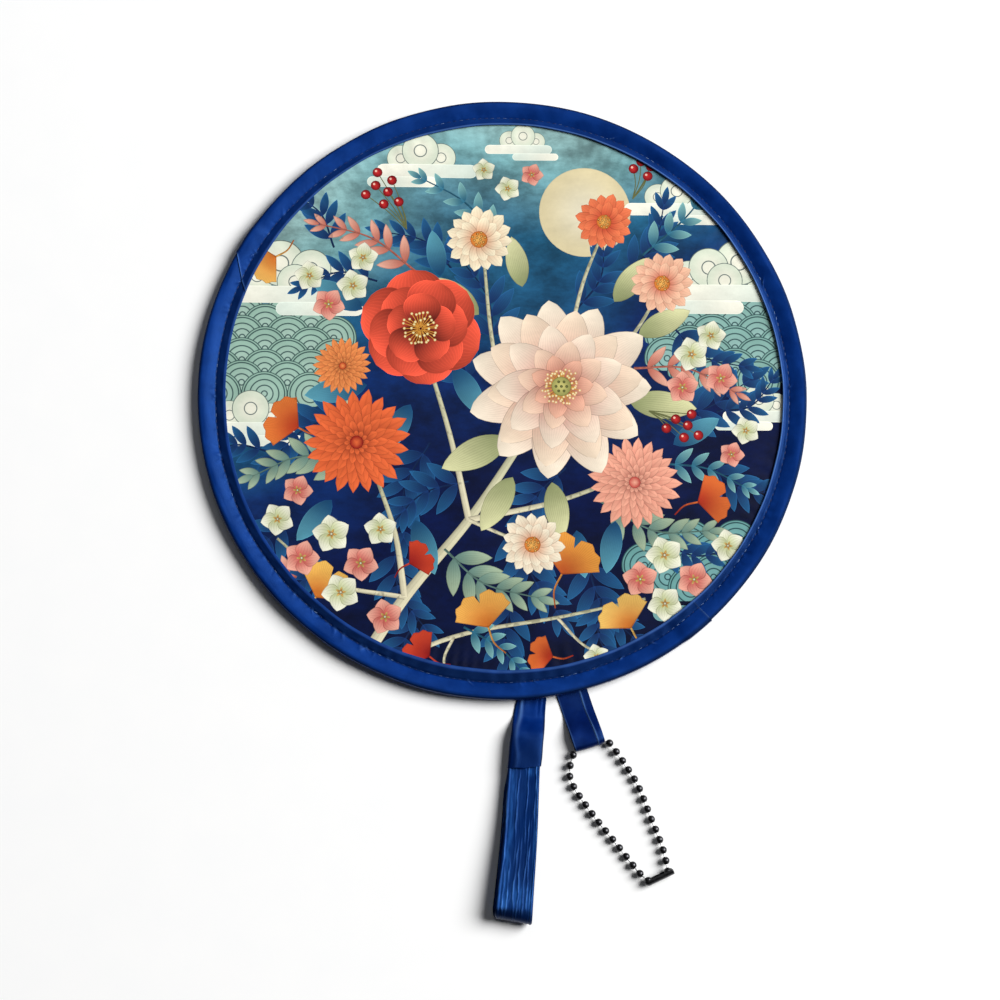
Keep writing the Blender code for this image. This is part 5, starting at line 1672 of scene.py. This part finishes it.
BEAD_RADIUS = 0.0016
BEAD_WALL = 0.00026
BEAD_HOLE_RADIUS = 0.00068
LINK_RADIUS = 0.00027
LINK_HEAD_RADIUS = 0.00090
APEX_HEAD_RADIUS = 0.0005
APEX_HEAD_BACK = 0.0007
BEAD_SIDES = 28
LINK_SIDES = 14
BEAD_COUNT = 32
APEX_BEAD = 17
FIT_ROUNDS = 12
FIT_LIMIT = 0.00008


def ball_centre(node, radius):
    """Centre of a packed bead, fitted to the part of its mesh that lies on the ball."""
    mesh = frame["nodes"][node].data
    places = np.array([vertex.co for vertex in mesh.vertices])
    centre = np.median([face.center - face.normal * radius for face in mesh.polygons], axis=0)
    for _ in range(FIT_ROUNDS):
        reach = np.linalg.norm(places - centre, axis=1)
        near = places[np.abs(reach - radius) < FIT_LIMIT]
        if len(near) < 8:
            break
        rows = np.column_stack([2 * near, np.ones(len(near))])
        centre = np.linalg.lstsq(rows, (near ** 2).sum(1), rcond=None)[0][:3]
    return Vector(centre)


def turned(profile, sides):
    """Turn a closed run of (radius, height) points about +Z; points on the axis close as fans."""
    turns = np.arange(sides) * 2 * np.pi / sides
    points, faces, rows = [], [], []
    for radius, height in profile:
        if radius < 0.0000001:
            rows.append([len(points)])
            points.append((0.0, 0.0, height))
        else:
            rows.append(list(range(len(points), len(points) + sides)))
            points += [(radius * math.cos(turn), radius * math.sin(turn), height) for turn in turns]
    for row, after in zip(rows, rows[1:]):
        for i in range(sides):
            k = (i + 1) % sides
            ring = [row[i % len(row)], row[k % len(row)], after[k % len(after)], after[i % len(after)]]
            face = list(dict.fromkeys(ring))
            if len(face) > 2:
                faces.append(face)
    return np.array(points), faces


def bead_shell(holed):
    """Rolled bead: a round lip at +Z when a link comes out there, and a closed pole at -Z."""
    inner = BEAD_RADIUS - BEAD_WALL
    if not holed:
        outer = arc((0.0, 0.0), BEAD_RADIUS, 90, -90, 20)
        outer[0, 0] = 0.0
        outer[-1, 0] = 0.0
        return turned(outer, BEAD_SIDES)
    lip = 90 - math.degrees(math.asin(BEAD_HOLE_RADIUS / BEAD_RADIUS))
    inner_lip = 90 - math.degrees(math.asin(BEAD_HOLE_RADIUS / inner))
    outer = arc((0.0, 0.0), BEAD_RADIUS, -90, lip - 5, 18)
    rim_height = BEAD_RADIUS * math.sin(math.radians(lip - 3))
    roll_radius = BEAD_WALL * 0.55
    roll_centre = (BEAD_HOLE_RADIUS + roll_radius, rim_height - BEAD_WALL * 0.45)
    rolled = arc(roll_centre, roll_radius, 80, 180, 4)
    hollow = arc((0.0, 0.0), inner, inner_lip - 4, -90, 12)
    profile = np.concatenate([outer, rolled, hollow])
    profile[0, 0] = 0.0
    profile[-1, 0] = 0.0
    return turned(profile, BEAD_SIDES)


def link_wire(head_radius, head_height):
    """Wire link with an upset ball head, leaving its bead at +Z."""
    root = BEAD_RADIUS - BEAD_WALL * 0.8
    neck = math.degrees(math.asin(LINK_RADIUS / head_radius))
    ball = arc((0.0, head_height), head_radius, neck - 90, 90, 10)
    profile = np.concatenate([[(0.0, root), (LINK_RADIUS, root)], ball])
    profile[-1, 0] = 0.0
    return turned(profile, LINK_SIDES)


def aimed(points, centre, target):
    """Points turned so that +Z looks from the centre at the target."""
    turn = (target - centre).to_track_quat("Z", "Y").to_matrix()
    return points @ np.array(turn).T + np.array(centre)


black_nickel = Finish("black_nickel_plate", {"Metallic": 1.0, "Coat Weight": 0.25, "Coat Roughness": 0.22})
plate_cloud = black_nickel.mottle(0.0012, 3.0, 0.55)
plate_wear = black_nickel.mottle(0.00035, 4.0, 0.6).rise(0.58, 0.74)
plating = black_nickel.mix(plate_cloud, colour(38, 39, 42), colour(72, 72, 76))
black_nickel.show({
    "Base Color": black_nickel.mix(plate_wear * 0.35, plating, colour(120, 116, 112)),
    "Roughness": 0.26 + 0.18 * plate_cloud + 0.12 * plate_wear,
})
black_nickel.emboss(plate_cloud * 0.6 + plate_wear * 0.4, 0.00002)

bright_wire = Finish("bright_link_wire", {"Metallic": 1.0})
drawn_lines = bright_wire.mottle(0.0003, 3.0, 0.6)
bright_wire.show({
    "Base Color": bright_wire.mix(drawn_lines, colour(150, 150, 152), colour(214, 214, 216)),
    "Roughness": 0.22 + 0.2 * drawn_lines,
})
bright_wire.emboss(drawn_lines, 0.00001)

bead_nodes = [f"chain_bead_{number:02d}" for number in range(1, BEAD_COUNT + 1)]
bead_centres = [ball_centre(node, BEAD_RADIUS) for node in bead_nodes]
bodies = frame["record"]["behaviour"]["bodies"]
node_body = {node: body for body, nodes in bodies.items() for node in nodes}


def make_bead(number):
    """One bead and the link it hangs by, whose head sits in the neighbour nearer the tab."""
    index = number - 1
    centre = bead_centres[index]
    inward = 1 if number < APEX_BEAD else -1
    outward = index - inward
    is_apex = number == APEX_BEAD
    holed = not is_apex and 0 <= outward < BEAD_COUNT
    shell, faces = bead_shell(holed)
    look = bead_centres[outward] if holed else 2 * centre - bead_centres[index + inward]
    points = aimed(shell, centre, look)
    shares = [0] * len(faces)
    if not is_apex:
        near_apex = number + inward == APEX_BEAD
        pitch = (bead_centres[index + inward] - centre).length
        if near_apex:
            wire, wire_faces = link_wire(APEX_HEAD_RADIUS, pitch - APEX_HEAD_BACK)
        else:
            wire, wire_faces = link_wire(LINK_HEAD_RADIUS, pitch)
        faces = faces + [[i + len(points) for i in face] for face in wire_faces]
        shares += [1] * len(wire_faces)
        points = np.concatenate([points, aimed(wire, centre, bead_centres[index + inward])])
    bead = add_piece(f"bead_{number:02d}", points, faces, black_nickel, sharp=60)
    bead.data.materials.append(bright_wire.material)
    bead.data.polygons.foreach_set("material_index", shares)
    node = bead_nodes[index]
    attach(bead, node_body[node])
    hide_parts(node)


for number in range(1, BEAD_COUNT + 1):
    make_bead(number)


# Chain connector
# An open trough folded from thin strip: its end beads snap in through the open side and their
# links come out of the slot. One end is drawn in round and the other is cut square.

CONNECTOR_RADIUS = 0.00205
CONNECTOR_WALL = 0.0003
CONNECTOR_WRAP = 205.0
CONNECTOR_ROLL = math.radians(12.0)
CONNECTOR_END_ROUND = 0.0003
CONNECTOR_END_DRAW = 0.00008


def make_connector():
    """Rings along the trough: an open arc with thickness, drawn in to a round nose at its first end."""
    left, right = bead_centres[0], bead_centres[-1]
    axis = (right - left).normalized()
    inside = tab_place.translation - left
    closed_side = -(inside - axis * inside.dot(axis)).normalized()
    up = axis.cross(closed_side)
    length = (right - left).length
    turns = np.radians(np.linspace(-CONNECTOR_WRAP / 2, CONNECTOR_WRAP / 2, 25))
    cosine, sine = math.cos(CONNECTOR_ROLL), math.sin(CONNECTOR_ROLL)
    closed_side, up = closed_side * cosine + up * sine, up * cosine - closed_side * sine
    square_end = length + CONNECTOR_RADIUS
    nose = [math.radians(turn) for turn in np.linspace(18, 90, 9)]
    stations = [(-CONNECTOR_RADIUS * math.cos(turn), CONNECTOR_RADIUS * math.sin(turn)) for turn in nose]
    straight = np.linspace(CONNECTOR_END_ROUND, square_end - CONNECTOR_END_ROUND, 12)
    stations += [(along, CONNECTOR_RADIUS) for along in straight]
    stations.append((square_end, CONNECTOR_RADIUS - CONNECTOR_END_DRAW))
    rings = []
    for along, radius in stations:
        lip = 1 - 0.06 * (np.abs(turns) / turns[-1]) ** 8
        outer = np.stack([np.cos(turns), np.sin(turns)], 1) * (radius * lip)[:, None]
        inner = outer * (1 - CONNECTOR_WALL / radius)
        ring = np.concatenate([outer, inner[::-1]]).tolist()
        rings.append([tuple(left + closed_side * x + up * y + axis * along) for x, y in ring])
    return loft(np.array(rings))


connector = add_piece("connector_trough", *make_connector(), black_nickel)
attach(connector, "connector")
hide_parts("chain_connector")


# Table, light and camera
# The fan lies face up on a white table under one soft window to its right and a bright room.

TABLE_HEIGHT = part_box("strap_root")[0].z - FINEST_GAP
TABLE_HALF_WIDTH = 3.0
CAMERA_DISTANCE = 1.3


def add_table():
    """Flat white top under the fan."""
    mesh = bpy.data.meshes.new("table")
    top = bmesh.new()
    bmesh.ops.create_grid(top, x_segments=1, y_segments=1, size=TABLE_HALF_WIDTH)
    top.to_mesh(mesh)
    top.free()
    white = Finish("white_table", {"Specular IOR Level": 0.1})
    grain = white.mottle(0.02, 3.0, 0.5)
    white.show({
        "Base Color": white.mix(grain, colour(246, 247, 248), colour(250, 250, 250)),
        "Roughness": 0.85 + 0.1 * grain,
    })
    mesh.materials.append(white.material)
    table = bpy.data.objects.new("table", mesh)
    table.location = (0.0, 0.0, TABLE_HEIGHT)
    bpy.context.scene.collection.objects.link(table)


def add_window(name, direction, distance, size, power, tint):
    """Soft round light that faces the fan from a direction."""
    light = bpy.data.lights.new(name, "AREA")
    light.shape = "DISK"
    light.size = size
    light.energy = power
    light.color = tint
    window = bpy.data.objects.new(name, light)
    away = Vector(direction).normalized()
    window.location = away * distance
    window.rotation_euler = away.to_track_quat("Z", "Y").to_euler()
    bpy.context.scene.collection.objects.link(window)


add_table()
add_window("side_window", (0.71, 0.23, 0.66), 5.0, 3.6, 440.0, (1.0, 0.995, 0.985))
add_window("room_glow", (-0.20, 0.60, 0.9), 2.8, 2.0, 4.5, (0.93, 0.96, 1.0))
world = bpy.data.worlds.new("bright_room")
world.use_nodes = True
room_light = world.node_tree.nodes["Background"].inputs
room_light["Color"].default_value = (0.96, 0.98, 1.0, 1.0)
room_light["Strength"].default_value = 0.03
bpy.context.scene.world = world
bpy.context.scene.view_settings.view_transform = "Standard"

camera_back = Vector((-0.03496, -0.17185, 0.98450)).normalized()
camera_right = (-camera_back).cross(Vector((0.0, 1.0, 0.0))).normalized()
camera_up = camera_right.cross(-camera_back)
view = bpy.data.cameras.new("photo_view")
view.lens = 114.45
view.sensor_width = 36.0
view.clip_start = 0.05
camera = bpy.data.objects.new("photo_view", view)
camera_turn = Matrix((camera_right, camera_up, camera_back)).transposed().to_4x4()
camera_place = Vector((-0.00127, -0.04360, 0.0)) + camera_back * CAMERA_DISTANCE
camera.matrix_world = Matrix.Translation(camera_place) @ camera_turn
bpy.context.scene.collection.objects.link(camera)
bpy.context.scene.camera = camera
